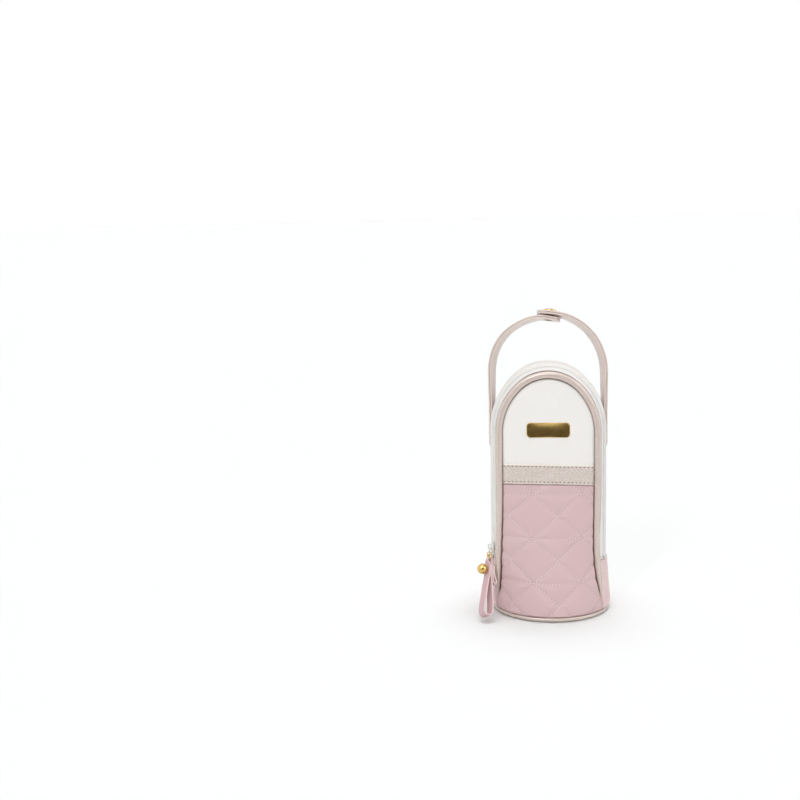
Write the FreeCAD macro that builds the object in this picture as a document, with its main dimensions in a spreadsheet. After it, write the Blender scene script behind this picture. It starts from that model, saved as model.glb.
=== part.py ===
import FreeCAD, Part
import os
import re

import Sketcher

# Insulated carrier bag for one baby bottle: a round-backed, domed bag whose flat front
# is an arched flap that unzips and folds down, with a two-strap handle closed by a snap.
# +Z is up, -Y is the front, and the origin is the middle of the base on the ground.

# Driving sizes, in millimetres and degrees
SIZES = {
    # Outer form
    "body_radius": 54,        # straight round wall, outside
    "base_radius": 56,        # wall at the ground
    "flare_height": 50,       # height of the slight outward flare
    "body_height": 235,       # top of the dome
    "dome_rise": 64,          # height of the dome above the straight wall
    "dome_join": 45,          # angle at which the two dome arcs meet
    "front_flat": 25,         # flat front face, ahead of the axis
    "front_break": 122,       # height where the round lower front has become flat
    "front_ease": 0.8,        # corner of the front, in from the wall
    # Layers of the wall
    "leather": 1.6,
    "tape_thick": 0.6,
    "foam": 4,
    "lining": 0.8,
    "seam_gap": 0.2,          # between two panels that are sewn together
    # Seams of the body
    "lower_top": 50,          # top edge of the coloured lower band
    "lower_front": 22,        # its front edge, ahead of the axis
    "gusset_front": 10,       # front edge of the gusset, ahead of the axis
    "back_seam": 24,          # seam of gusset and back, behind the axis
    # Base
    "rest_gap": 0.15,         # piping above the ground
    "rim_radius": 2.6,        # piping round the base
    "rim_proud": 0.6,         # how far it stands out of the wall
    "board": 2,
    "base_fit": 0.6,          # room round the base pieces
    # Front flap
    "hinge_height": 52,       # fold line of the flap
    "fold_gap": 0.6,
    "flap_inset": 10,         # foam of the flap, in from the wall
    "panel_join": 132.5,      # seam hidden behind the band
    "band_low": 123,
    "band_height": 19,
    "band_thick": 1.2,
    "piping_radius": 3.1,
    "piping_splay": 1.4,      # how far the side runs have spread at the fold
    "taper_top": 34,          # where the lower piping starts to taper
    "taper_end": 12,
    "taper_tip": 0.7,         # radius of its tip
    # Nameplate
    "plate_width": 40,
    "plate_height": 14,
    "plate_thick": 1.5,
    "plate_corner": 3.2,
    "plate_level": 174,
    "plate_edge": 0.5,        # rounding of its rim
    "post_radius": 1.1,
    "post_spacing": 24,
    "washer_radius": 2.8,
    "washer_thick": 0.4,
    "post_fit": 0.15,
    # Zip
    "zip_depth": 16,          # middle of the zip, ahead of the axis
    "zip_gap": 1.4,
    "coil_width": 1.5,
    "tape_lap": 4,            # tape under the edge of the gusset
    "stop_width": 3.4,
    "stop_height": 2.6,
    "stop_thick": 0.8,
    "stop_fit": 0.05,         # stop above the coil
    # Slider
    "slider_level": 61,
    "slider_length": 9,
    "slider_nose": 9,         # width at its lower end
    "slider_tail": 7,         # width at its upper end
    "slider_plate": 1.2,
    "slider_fit": 0.5,
    "slider_web": 0.8,
    "bail_reach": 2.4,        # half the length of the bail
    "bail_wire": 0.7,
    "bail_bend": 1,
    # Pull
    "tab_wire": 0.6,
    "tab_length": 2.5,
    "wire_fit": 0.35,
    "link_radius": 2.2,
    "link_wire": 0.5,
    "ring_radius": 2.6,
    "ring_wire": 0.7,
    "ring_fit": 0.3,
    "pull_lean": 34,          # forward lean along the wall
    "tab_flare": 18,          # tilt of the tab and link away from the wall
    "loop_flare": 12,         # tilt of the leather away from the wall
    "pull_twist": 12,
    "strip": 1.3,             # leather of the pull
    "strip_width": 10,
    "eye_radius": 1.6,
    "eye_width": 3,
    "eye_taper": 6,           # length over which the strip widens
    "loop_length": 55,
    "loop_bow": 5.2,          # outer radius of the bottom of the loop
    "loop_close": 15,         # length that is pressed together
    "tail_length": 24,
    "tail_bow": 2.4,
    "stud_drop": 9,
    "ball_radius": 3.9,
    "stud_neck": 1.3,
    "stud_fit": 0.15,
    "screw_radius": 3,
    "screw_thick": 0.7,
    # Handle
    "strap_width": 15,
    "strap_thick": 2.6,
    "strap_splay": 12,
    "strap_fit": 0.3,
    "tab_low": 153,
    "strap_round": 5,         # rounded corners of the strap ends
    "handle_height": 273,     # middle of the lower strap at the snap
    "snap_side": 3,           # snap, to the right of the middle
    "snap_tilt": 7,
    "snap_gap": 2,
    "tip_under": 10,          # lower strap beyond the snap
    "tip_over": 12,           # upper strap beyond the snap
    "bend_angle": 60,         # where the upper strap bends when it is opened
    "bend_gap": 0.3,
    # Snap
    "cap_radius": 6,
    "cap_height": 2.1,
    "shank_radius": 1.4,
    "shank_fit": 0.25,
    "flange_radius": 4.6,
    "flange_thick": 0.6,
    "stud_radius": 1.8,
    "socket_bore": 2.6,
    "snap_fit": 0.35,
}

doc = FreeCAD.newDocument("bottle_bag")
sheet = doc.addObject("Spreadsheet::Sheet", "sizes")
for row, (alias, size) in enumerate(SIZES.items(), start=1):
    sheet.set(f"A{row}", alias)
    sheet.set(f"B{row}", str(size))
    sheet.setAlias(f"B{row}", alias)
doc.recompute()

CLOSE = 0.1                   # how near a found edge must be to the one that is meant
WORDS = re.compile(r"\b(" + "|".join(SIZES) + r")\b")
nodes = []


def cells(formula):
    """A formula in plain size names, as an expression on the sheet's cells."""
    return WORDS.sub(r"sizes.\1", formula)


def worth(formula):
    """The number that a formula gives with the sizes of the sheet."""
    return float(sheet.evalExpression(cells(formula)))


def bind(item, **formulas):
    """Tie properties of a document object to formulas on the sheet."""
    for name, formula in formulas.items():
        item.setExpression(name, cells(formula))


def node(label, item):
    """Name a finished piece and keep it for the export."""
    item.Label = label
    nodes.append(item)
    return item


def moved(across, deep, up):
    """A placement formula that only shifts."""
    return f"placement(vector({across}; {deep}; {up}); rotation(vector(0;0;1); 0))"


def body(name, frame=None):
    """An empty body, placed by a placement formula if one is given."""
    item = doc.addObject("PartDesign::Body", name)
    if frame:
        bind(item, Placement=frame)
    return item


def sketch(owner, name, plane, shift=None):
    """A sketch on one of the body's own planes, moved along the plane's normal."""
    item = owner.newObject("Sketcher::SketchObject", name)
    support = next(f for f in owner.Origin.OriginFeatures if f.Role == plane)
    item.AttachmentSupport = [(support, "")]
    item.MapMode = "FlatFace"
    if shift:
        item.setExpression("AttachmentOffset.Base.z", cells(shift))
    return item


def hold_point(item, geometry, end, across, up):
    """Fix one point of a sketch at two formulas."""
    for kind, formula in (("DistanceX", across), ("DistanceY", up)):
        index = item.addConstraint(Sketcher.Constraint(kind, -1, 1, geometry, end, worth(formula)))
        item.setExpression(f"Constraints[{index}]", cells(formula))


def hold_radius(item, geometry, radius):
    """Fix the radius of a circle or an arc at a formula."""
    index = item.addConstraint(Sketcher.Constraint("Radius", geometry, worth(radius)))
    item.setExpression(f"Constraints[{index}]", cells(radius))


def arc_between(start, end, radius, turn):
    """Arc of under half a circle from start to end, turning left (+1) or right (-1)."""
    chord = end - start
    middle = (start + end) / 2
    rise = max(radius ** 2 - (chord.Length / 2) ** 2, 0.0) ** 0.5
    side = FreeCAD.Vector(-chord.y, chord.x, 0).normalize()
    centre = middle + side * rise * turn
    normal = FreeCAD.Vector(0, 0, 1)
    first, last = (start, end) if turn > 0 else (end, start)
    circle = Part.Circle(centre, normal, radius)
    return Part.ArcOfCircle(circle, circle.parameter(first), circle.parameter(last))


def outline(item, corners, closed=True):
    """Draw lines and arcs from corner to corner: (across, up) or (across, up, radius, turn)."""
    points = [FreeCAD.Vector(worth(c[0]), worth(c[1]), 0) for c in corners]
    count = len(corners) if closed else len(corners) - 1
    ends = []
    for k in range(count):
        start, end = points[k], points[(k + 1) % len(points)]
        if len(corners[k]) == 2:
            ends.append((item.addGeometry(Part.LineSegment(start, end)), 1, 2))
        else:
            radius, turn = corners[k][2:]
            geometry = item.addGeometry(arc_between(start, end, worth(radius), turn))
            ends.append((geometry, 1, 2) if turn > 0 else (geometry, 2, 1))
    for k, (geometry, first, last) in enumerate(ends):
        hold_point(item, geometry, first, corners[k][0], corners[k][1])
        if len(corners[k]) > 2:
            hold_radius(item, geometry, corners[k][2])
        if closed or k + 1 < count:
            following = ends[(k + 1) % count]
            item.addConstraint(Sketcher.Constraint("Coincident", geometry, last, following[0], following[1]))
    if not closed:
        hold_point(item, ends[-1][0], ends[-1][2], corners[-1][0], corners[-1][1])
    return item


def ring(item, across, up, radius):
    """Add a full circle to a sketch."""
    centre = FreeCAD.Vector(worth(across), worth(up), 0)
    geometry = item.addGeometry(Part.Circle(centre, FreeCAD.Vector(0, 0, 1), worth(radius)))
    hold_point(item, geometry, 3, across, up)
    hold_radius(item, geometry, radius)
    return item


def pad(owner, name, profile, length, middle=False, back=False):
    """Extrude a sketch by a formula."""
    item = owner.newObject("PartDesign::Pad", name)
    item.Profile = profile
    item.SideType = "Symmetric" if middle else "One side"
    item.Reversed = back
    bind(item, Length=length)
    return item


def pocket(owner, name, profile, length):
    """Cut a sketch out of a body, half of the length to each side."""
    item = owner.newObject("PartDesign::Pocket", name)
    item.Profile = profile
    item.SideType = "Symmetric"
    bind(item, Length=length)
    return item


def turned(owner, name, profile, axis="V_Axis"):
    """Revolve a sketch once round one of its own axes."""
    item = owner.newObject("PartDesign::Revolution", name)
    item.Profile = profile
    item.ReferenceAxis = (profile, [axis])
    item.Angle = 360
    return item


def pipe(owner, name, profile, path):
    """Carry a closed section along a path of lines and arcs."""
    item = owner.newObject("PartDesign::AdditivePipe", name)
    item.Profile = profile
    item.Spine = path
    item.Transition = "Round corner"
    return item


def rounded(owner, name, feature, edges, radius):
    """Fillet chosen edges of a feature."""
    item = owner.newObject("PartDesign::Fillet", name)
    item.Base = (feature, edges)
    bind(item, Radius=radius)
    return item


def block(name, low, high):
    """A box between two corners, each given as three formulas."""
    item = doc.addObject("Part::Box", name)
    bind(item, Length=f"{high[0]} - ({low[0]})", Width=f"{high[1]} - ({low[1]})",
         Height=f"{high[2]} - ({low[2]})")
    for axis, formula in zip("xyz", low):
        item.setExpression(f"Placement.Base.{axis}", cells(formula))
    return item


def rod(name, radius, height, frame):
    """A round bar standing along the z axis of a placement formula."""
    item = doc.addObject("Part::Cylinder", name)
    bind(item, Radius=radius, Height=height, Placement=frame)
    return item


def shared(name, *shapes):
    """What several shapes have in common."""
    item = doc.addObject("Part::MultiCommon", name)
    item.Shapes = list(shapes)
    return item


def less(name, base, tool):
    """One shape with another taken away."""
    item = doc.addObject("Part::Cut", name)
    item.Base = base
    item.Tool = tool
    return item


def joined(name, *shapes):
    """Several shapes as one."""
    item = doc.addObject("Part::MultiFuse", name)
    item.Shapes = list(shapes)
    return item


# Depths of the layers below the outer skin
SKIN = "0"
TAPE = "leather"
FOAM = "(leather + tape_thick)"
LINING = "(leather + tape_thick + foam)"
INSIDE = "(leather + tape_thick + foam + lining)"
FLAP_EDGE = "flap_inset"
WIDE = "2 * body_radius"
TALL = "body_height + body_radius"

# Radii of the two arcs of an oval quarter, from its half width and its rise
JOIN_COS = "cos(dome_join * 1deg)"
JOIN_SIN = "sin(dome_join * 1deg)"


def side_arc(half, rise):
    """Radius of the oval arc that leaves the side."""
    return f"(({rise}) * {JOIN_COS} - ({half}) * (1 - {JOIN_SIN})) / ({JOIN_COS} + {JOIN_SIN} - 1)"


def crown_arc(half, rise):
    """Radius of the oval arc over the top."""
    return f"(({half}) * {JOIN_SIN} - ({rise}) * (1 - {JOIN_COS})) / ({JOIN_COS} + {JOIN_SIN} - 1)"


SPRING = "(body_height - dome_rise)"
CROWN = f"({crown_arc('body_radius', 'dome_rise')})"
SHOULDER = f"({side_arc('body_radius', 'dome_rise')})"


def bullet(name, depth):
    """The full round form at a depth below the skin: flared wall, straight wall and dome."""
    item = body(name)
    profile = sketch(item, f"{name}_profile", "XZ_Plane")
    outline(profile, [
        ("0", "0"),
        (f"base_radius - {depth}", "0"),
        (f"body_radius - {depth}", "flare_height"),
        (f"body_radius - {depth}", SPRING, f"{SHOULDER} - {depth}", 1),
        (f"({CROWN} - {depth}) * {JOIN_COS}",
         f"body_height - {CROWN} + ({CROWN} - {depth}) * {JOIN_SIN}", f"{CROWN} - {depth}", 1),
        ("0", f"body_height - {depth}"),
    ])
    turned(item, f"{name}_turned", profile)
    return item


def front_limit(name, depth):
    """All that lies behind the front face at a depth: a round bulge at the ground that
    has become flat at the break, between corners that stay just inside the round wall."""
    item = body(name)
    flat = f"(front_flat - {depth})"
    low_round = f"(base_radius - front_ease - {depth})"
    low_edge = f"sqrt({low_round}^2 - {flat}^2)"
    edge = f"sqrt((body_radius - front_ease - {depth})^2 - {flat}^2)"
    bulge = "((base_radius - front_ease - front_flat) * (1 - flare_height / front_break))"
    sections = []
    for level, half, bend in (("0", low_edge, low_round),
                              ("flare_height", edge, f"(({edge})^2 + {bulge}^2) / (2 * {bulge})"),
                              ("front_break", edge, None)):
        section = sketch(item, f"{name}_section_{len(sections)}", "XY_Plane", level)
        corner = (f"-{half}", f"-{flat}", bend, 1) if bend else (f"-{half}", f"-{flat}")
        outline(section, [
            (f"-({WIDE})", f"-{flat}"),
            corner,
            (half, f"-{flat}"),
            (WIDE, f"-{flat}"),
            (WIDE, WIDE),
            (f"-({WIDE})", WIDE),
        ])
        sections.append(section)
    loft = item.newObject("PartDesign::AdditiveLoft", f"{name}_loft")
    loft.Profile = sections[0]
    loft.Sections = sections[1:]
    loft.Ruled = True
    pad(item, f"{name}_upper", sections[-1], TALL)
    return item


# Forms at each depth: the whole round form, the front face and the two together
DEPTHS = {"skin": SKIN, "tape": TAPE, "foam": FOAM, "lining": LINING, "inside": INSIDE}
rounds = {name: bullet(f"round_{name}", depth) for name, depth in DEPTHS.items()}
fronts = {name: front_limit(f"front_{name}", depth) for name, depth in DEPTHS.items()}
flap_round = bullet("round_flap", FLAP_EDGE)
forms = {name: shared(f"form_{name}", rounds[name], fronts[name]) for name in ("skin", "tape")}

# Layers of the round wall and of the front
skin_wall = less("skin_wall", rounds["skin"], rounds["tape"])
tape_wall = less("tape_wall", rounds["tape"], rounds["foam"])
skin_front = less("skin_front", fronts["skin"], fronts["tape"])
skin_shell = less("skin_shell", forms["skin"], forms["tape"])

WALL_FOOT = "(rest_gap + 2 * rim_radius + seam_gap)"
FOLD_LOW = "(hinge_height - fold_gap / 2)"
FOLD_HIGH = "(hinge_height + fold_gap / 2)"
UPPER_FOOT = "(lower_top + seam_gap)"


def zone(name, front, back, low, high=TALL):
    """A region right across the bag between two depths and two heights."""
    return block(name, (f"-({WIDE})", front, low), (WIDE, back, high))


# Leather of the upper body: gusset and back
node("gusset", shared("gusset_solid", skin_wall,
                      zone("gusset_zone", "-gusset_front", "back_seam", UPPER_FOOT)))
node("back_panel", shared("back_panel_solid", skin_wall,
                          zone("back_zone", "back_seam + seam_gap", WIDE, UPPER_FOOT)))

# Piping along the edge of the front: a run up each side, slightly spread below, and an oval arch
PIPE_HALF = f"sqrt((body_radius - {FOAM})^2 - front_flat^2)"
PIPE_RISE = f"(dome_rise - {CROWN} + sqrt(({CROWN} - {FOAM})^2 - front_flat^2))"
PIPE_CROWN = f"({crown_arc(PIPE_HALF, PIPE_RISE)})"
PIPE_SIDE = f"({side_arc(PIPE_HALF, PIPE_RISE)})"
PIPE_TOP = f"({SPRING} + {PIPE_RISE})"
SPLAY_RUN = f"(front_break - {FOLD_HIGH})"
SPLAY_BEND = f"(({SPLAY_RUN}^2 + piping_splay^2) / (2 * piping_splay))"
SPLAY_TURN = f"(2 * atan(piping_splay / {SPLAY_RUN}))"
PIPE_FOLD = f"({PIPE_HALF} + piping_splay)"
arch = body("flap_piping_body")
arch_section = sketch(arch, "arch_section", "XY_Plane", FOLD_HIGH)
ring(arch_section, f"-{PIPE_FOLD}", "-front_flat", "piping_radius")
arch_path = sketch(arch, "arch_path", "XZ_Plane", "front_flat")
outline(arch_path, [
    (f"-{PIPE_FOLD}", FOLD_HIGH, SPLAY_BEND, 1),
    (f"-{PIPE_HALF}", "front_break"),
    (f"-{PIPE_HALF}", SPRING, PIPE_SIDE, -1),
    (f"-{PIPE_CROWN} * {JOIN_COS}", f"{PIPE_TOP} - {PIPE_CROWN} * (1 - {JOIN_SIN})", PIPE_CROWN, -1),
    ("0", PIPE_TOP, PIPE_CROWN, -1),
    (f"{PIPE_CROWN} * {JOIN_COS}", f"{PIPE_TOP} - {PIPE_CROWN} * (1 - {JOIN_SIN})", PIPE_SIDE, -1),
    (PIPE_HALF, SPRING),
    (PIPE_HALF, "front_break", SPLAY_BEND, 1),
    (PIPE_FOLD, FOLD_HIGH),
], closed=False)
pipe(arch, "arch_pipe", arch_section, arch_path)
node("flap_piping", arch)


def piping_end(label, side):
    """The piping below the fold, tapering into the seam near the ground."""
    frame = (f"placement(vector({side} * ({PIPE_FOLD} + fold_gap * tan({SPLAY_TURN}));"
             f" -front_flat; {FOLD_LOW}); rotation(vector(0;1;0); -({side}) * {SPLAY_TURN} / 1deg))")
    item = body(f"{label}_body", frame)
    profile = sketch(item, f"{label}_profile", "XZ_Plane")
    outline(profile, [
        ("0", f"taper_end - {FOLD_LOW}"),
        ("taper_tip", f"taper_end - {FOLD_LOW}"),
        ("piping_radius", f"taper_top - {FOLD_LOW}"),
        ("piping_radius", "0"),
        ("0", "0"),
    ])
    turned(item, f"{label}_turned", profile)
    return node(label, item)


end_left = piping_end("piping_end_left", "-1")
end_right = piping_end("piping_end_right", "1")
ends_pair = joined("piping_ends", end_left, end_right)

# Lower band round the sides and the back
band_wall = shared("lower_band_wall", skin_wall,
                   zone("lower_band_zone", "-lower_front", WIDE, WALL_FOOT, "lower_top"))
node("lower_band", less("lower_band_solid", band_wall, ends_pair))

# Front below the fold: one strip of the quilted leather that stays with the base
front_strip = shared("front_strip", skin_shell,
                     zone("front_strip_zone", f"-({WIDE})", "-lower_front - seam_gap", WALL_FOOT, FOLD_LOW))
node("lower_front_panel", less("lower_front_solid", front_strip, ends_pair))

# Flap leather above the fold: quilted panel and white top panel, both up to the piping
quilt_sheet = shared("quilt_sheet", skin_front, rounds["tape"],
                     zone("quilt_zone", f"-({WIDE})", "0",
                          f"{FOLD_HIGH} + seam_gap", "panel_join - seam_gap / 2"))
node("flap_quilt_panel", less("flap_quilt_solid", quilt_sheet, arch))
top_sheet = shared("top_sheet", skin_front, rounds["tape"],
                   zone("top_zone", f"-({WIDE})", "0", "panel_join + seam_gap / 2"))
top_edge = less("top_edge", top_sheet, arch)


def post_frame(side):
    """Frame of one nameplate post, its z axis pointing into the bag."""
    return (f"placement(vector({side} * post_spacing / 2; -front_flat; plate_level);"
            " rotation(vector(1;0;0); -90))")


post_holes = [rod(f"post_hole_{k}", "post_radius + post_fit", "leather", post_frame(side))
              for k, side in enumerate(("-1", "1"))]
node("flap_top_panel", less("flap_top_solid", top_edge, joined("post_holes", *post_holes)))

# Band sewn across the front, over the seam of the two panels
band_plate = block("band_plate", (f"-{PIPE_HALF}", "-front_flat - band_thick", "band_low"),
                   (PIPE_HALF, "-front_flat", "band_low + band_height"))
node("flap_band", less("flap_band_solid", band_plate, arch))

# Nameplate: a plain rounded plate with two posts clinched over washers
plate = body("nameplate_body")
plate_face = sketch(plate, "plate_face", "XZ_Plane", "front_flat")
HALF_W = "plate_width / 2"
HALF_H = "plate_height / 2"
outline(plate_face, [
    (f"-{HALF_W} + plate_corner", f"plate_level - {HALF_H}"),
    (f"{HALF_W} - plate_corner", f"plate_level - {HALF_H}", "plate_corner", 1),
    (HALF_W, f"plate_level - {HALF_H} + plate_corner"),
    (HALF_W, f"plate_level + {HALF_H} - plate_corner", "plate_corner", 1),
    (f"{HALF_W} - plate_corner", f"plate_level + {HALF_H}"),
    (f"-{HALF_W} + plate_corner", f"plate_level + {HALF_H}", "plate_corner", 1),
    (f"-{HALF_W}", f"plate_level + {HALF_H} - plate_corner"),
    (f"-{HALF_W}", f"plate_level - {HALF_H} + plate_corner", "plate_corner", 1),
])
plate_pad = pad(plate, "plate_pad", plate_face, "plate_thick")
doc.recompute()
PLATE_FRONT = worth("-front_flat - plate_thick")
rim = [f"Edge{k + 1}" for k, edge in enumerate(plate_pad.Shape.Edges)
       if max(abs(vertex.Y - PLATE_FRONT) for vertex in edge.Vertexes) < CLOSE]
rounded(plate, "plate_rim", plate_pad, rim, "plate_edge")
plate_posts = sketch(plate, "plate_posts", "XZ_Plane", "front_flat")
for side in ("-1", "1"):
    ring(plate_posts, f"{side} * post_spacing / 2", "plate_level", "post_radius")
pad(plate, "posts_pad", plate_posts, "leather + washer_thick", back=True)
node("nameplate", plate)


def washer(name, side):
    """A flat ring behind the panel, round one post."""
    frame = (f"placement(vector({side} * post_spacing / 2; -front_flat + leather; plate_level);"
             " rotation(vector(1;0;0); -90))")
    disc = rod(f"{name}_disc", "washer_radius", "washer_thick", frame)
    bore = rod(f"{name}_bore", "post_radius + post_fit", "washer_thick", frame)
    return less(name, disc, bore)


node("nameplate_washers", joined("washer_pair", washer("washer_left", "-1"), washer("washer_right", "1")))

# Insulation and lining of the flap, clear of the zip
flap_zone = zone("flap_zone", f"-({WIDE})", "0", FOLD_HIGH)
node("flap_foam", shared("flap_foam_solid", less("foam_front", fronts["foam"], fronts["lining"]),
                         flap_round, flap_zone))
node("flap_lining", shared("flap_lining_solid", less("lining_front", fronts["lining"], fronts["inside"]),
                           flap_round, flap_zone))

# Insulation and lining of the body: a cup below the fold, open at the front above it
FLOOR = "(leather + board + foam)"
mouth = zone("mouth", f"-({WIDE})", "-gusset_front", FOLD_LOW)
foam_form = shared("foam_form", rounds["foam"], fronts["foam"],
                   zone("foam_zone", f"-({WIDE})", WIDE, WALL_FOOT))
lining_form = shared("lining_form", rounds["lining"], fronts["lining"])
foam_wall = less("foam_wall", foam_form, lining_form)
foam_cup = less("foam_cup", foam_wall, mouth)
body_foam = node("body_foam", less("body_foam_solid", foam_cup, ends_pair))
lining_cup = shared("lining_cup", lining_form, zone("cup_zone", f"-({WIDE})", WIDE, FLOOR))
hollow = shared("hollow", rounds["inside"], fronts["inside"],
                zone("hollow_zone", f"-({WIDE})", WIDE, f"{FLOOR} + lining"))
node("body_lining", less("body_lining_solid", less("lining_wall", lining_cup, hollow), mouth))

# Base: leather disc, stiff board, foam disc and piping
RIM_RING = "(base_radius + rim_proud - rim_radius)"


def disc(name, radius, low, high):
    """A round layer of the base."""
    item = doc.addObject("Part::Cylinder", f"{name}_disc")
    bind(item, Radius=radius, Height=f"{high} - ({low})")
    item.setExpression("Placement.Base.z", cells(low))
    return item


node("base_panel", disc("base_panel", f"{RIM_RING} - rim_radius - seam_gap", "0", "leather"))
node("base_board", disc("base_board", f"{RIM_RING} - rim_radius - base_fit", "leather", "leather + board"))
foam_disc = disc("base_foam", f"base_radius - {LINING} - base_fit", "leather + board", FLOOR)
node("base_foam", less("base_foam_solid", foam_disc, foam_wall))
rim_piping = doc.addObject("Part::Torus", "base_piping_ring")
bind(rim_piping, Radius1=RIM_RING, Radius2="rim_radius")
rim_piping.setExpression("Placement.Base.z", cells("rest_gap + rim_radius"))
node("base_piping", rim_piping)

# Zip: a tape and a coil on each side of the zip line
FLAP_SIDE = "(-zip_depth - zip_gap / 2)"
BODY_SIDE = "(-zip_depth + zip_gap / 2)"
SLIDER_TOP = "(slider_level + slider_length / 2 + slider_fit)"
slider_room = block("slider_room", (f"-({WIDE})", f"-({WIDE})", "0"), ("0", "0", SLIDER_TOP))
tape_flap = shared("tape_flap_run", tape_wall,
                   zone("tape_flap_zone", "-front_flat", FLAP_SIDE, FOLD_HIGH))
node("zip_tape_flap", less("tape_flap_solid", less("tape_flap_edge", tape_flap, arch), slider_room))
coil_flap = shared("coil_flap_run", skin_wall,
                   zone("coil_flap_zone", f"{FLAP_SIDE} - coil_width", FLAP_SIDE, FOLD_HIGH))
node("zip_coil_flap", less("coil_flap_solid", coil_flap, slider_room))
node("zip_tape_body", shared("tape_body_solid", tape_wall,
                             zone("tape_body_zone", BODY_SIDE, "-gusset_front + tape_lap", UPPER_FOOT)))
node("zip_coil_body", shared("coil_body_solid", skin_wall,
                             zone("coil_body_zone", BODY_SIDE, f"{BODY_SIDE} + coil_width", UPPER_FOOT)))


def wall_frame(across, level):
    """Frame on the outer wall: x points out of the wall, y along it to the front, z up."""
    depth = f"asin(({across}) / body_radius)"
    return (f"placement(vector(-sqrt(body_radius^2 - ({across})^2); -({across}); {level});"
            f" rotation(vector(0;0;1); 180 + {depth} / 1deg))")


def end_stop(name, frame):
    """A small clip over the end of the coil that is on the gusset."""
    item = doc.addObject("Part::Box", name)
    bind(item, Length="stop_thick", Width="stop_width", Height="stop_height",
         Placement=f"{frame} * {moved('stop_fit', '-stop_width / 2', '0')}")
    return item


STOP_ACROSS = "zip_depth - zip_gap / 2 - stop_width / 2"
stop_left = end_stop("stop_left", wall_frame(STOP_ACROSS, UPPER_FOOT))
stop_right = doc.addObject("Part::Mirroring", "stop_right")
stop_right.Source = stop_left
stop_right.Normal = FreeCAD.Vector(1, 0, 0)
node("zip_stops", joined("stop_pair", stop_left, stop_right))

# Slider: two plates joined by a web at the nose, riding on both coils
SLIDER = wall_frame("zip_depth", "slider_level")
OUTER_FACE = "(slider_fit + slider_plate)"
INNER_FACE = "(leather + tape_thick + slider_fit + slider_plate)"
WEB_SLANT = "(zip_depth / sqrt(body_radius^2 - zip_depth^2))"
slider = body("slider", SLIDER)
web = sketch(slider, "slider_web_face", "XY_Plane", "-slider_length / 2")
outline(web, [
    (f"-{INNER_FACE}", f"{INNER_FACE} * {WEB_SLANT} - slider_web / 2"),
    (OUTER_FACE, f"-{OUTER_FACE} * {WEB_SLANT} - slider_web / 2"),
    (OUTER_FACE, f"-{OUTER_FACE} * {WEB_SLANT} + slider_web / 2"),
    (f"-{INNER_FACE}", f"{INNER_FACE} * {WEB_SLANT} + slider_web / 2"),
])
pad(slider, "slider_web_pad", web, "slider_length / 2")
for name, start in (("outer", "slider_fit"), ("inner", f"-{INNER_FACE}")):
    face = sketch(slider, f"slider_{name}_face", "YZ_Plane", start)
    outline(face, [
        ("-slider_nose / 2", "-slider_length / 2"),
        ("slider_nose / 2", "-slider_length / 2"),
        ("slider_nose / 2", "0"),
        ("slider_tail / 2", "slider_length / 2"),
        ("-slider_tail / 2", "slider_length / 2"),
        ("-slider_nose / 2", "0"),
    ])
    pad(slider, f"slider_{name}_pad", face, "slider_plate")
node("slider_body", slider)

# Bail: a wire staple on the slider
TAB_EYE = "(bail_wire + wire_fit + tab_wire)"
TAB_AXIS = f"({OUTER_FACE} + wire_fit + tab_wire + {TAB_EYE} * sin(tab_flare * 1deg))"
BAIL_BAR = f"({TAB_AXIS} + tab_wire + wire_fit + bail_wire)"
bail = body("bail", SLIDER)
bail_section = sketch(bail, "bail_section", "YZ_Plane", OUTER_FACE)
ring(bail_section, "0", "-bail_reach", "bail_wire")
bail_path = sketch(bail, "bail_path", "XZ_Plane")
outline(bail_path, [
    (OUTER_FACE, "-bail_reach"),
    (f"{BAIL_BAR} - bail_bend", "-bail_reach", "bail_bend", 1),
    (BAIL_BAR, "-bail_reach + bail_bend"),
    (BAIL_BAR, "bail_reach - bail_bend", "bail_bend", 1),
    (f"{BAIL_BAR} - bail_bend", "bail_reach"),
    (OUTER_FACE, "bail_reach"),
], closed=False)
pipe(bail, "bail_pipe", bail_section, bail_path)
node("slider_bail", bail)

# Pull tab: a wire loop round the lower leg of the bail
TAB = (f"{SLIDER} * placement(vector({TAB_AXIS}; 0; -bail_reach);"
       " rotation(vector(1;0;0); pull_lean) * rotation(vector(0;1;0); -tab_flare))")
tab = body("tab", TAB)
tab_section = sketch(tab, "tab_section", "XY_Plane")
ring(tab_section, "0", f"-{TAB_EYE}", "tab_wire")
tab_path = sketch(tab, "tab_path", "YZ_Plane")
outline(tab_path, [
    (f"-{TAB_EYE}", "0", TAB_EYE, -1),
    ("0", TAB_EYE, TAB_EYE, -1),
    (TAB_EYE, "0"),
    (TAB_EYE, "-tab_length", TAB_EYE, -1),
    ("0", f"-tab_length - {TAB_EYE}", TAB_EYE, -1),
    (f"-{TAB_EYE}", "-tab_length"),
])
pipe(tab, "tab_pipe", tab_section, tab_path)
node("pull_tab", tab)

# Two rings that join the tab and the leather loop, each square to the one before
LINK_DROP = f"(tab_length + {TAB_EYE} + link_radius - link_wire - ring_fit - tab_wire)"
RING_DROP = "(link_radius + ring_radius - ring_wire - ring_fit - link_wire)"
LINK = f"{TAB} * placement(vector(0; 0; -{LINK_DROP}); rotation(vector(0;0;1); pull_twist / 2))"
LOOP_TURN = "rotation(vector(0;1;0); tab_flare - loop_flare) * rotation(vector(0;0;1); pull_twist)"
RING = f"{TAB} * placement(vector(0; 0; -{LINK_DROP} - {RING_DROP}); {LOOP_TURN})"


def wire_ring(label, radius, wire, frame, axis):
    """A ring of round wire, turned so that it stands on edge."""
    item = doc.addObject("Part::Torus", f"{label}_torus")
    bind(item, Radius1=radius, Radius2=wire,
         Placement=f"{frame} * placement(vector(0;0;0); rotation(vector({axis}); 90))")
    return node(label, item)


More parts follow.
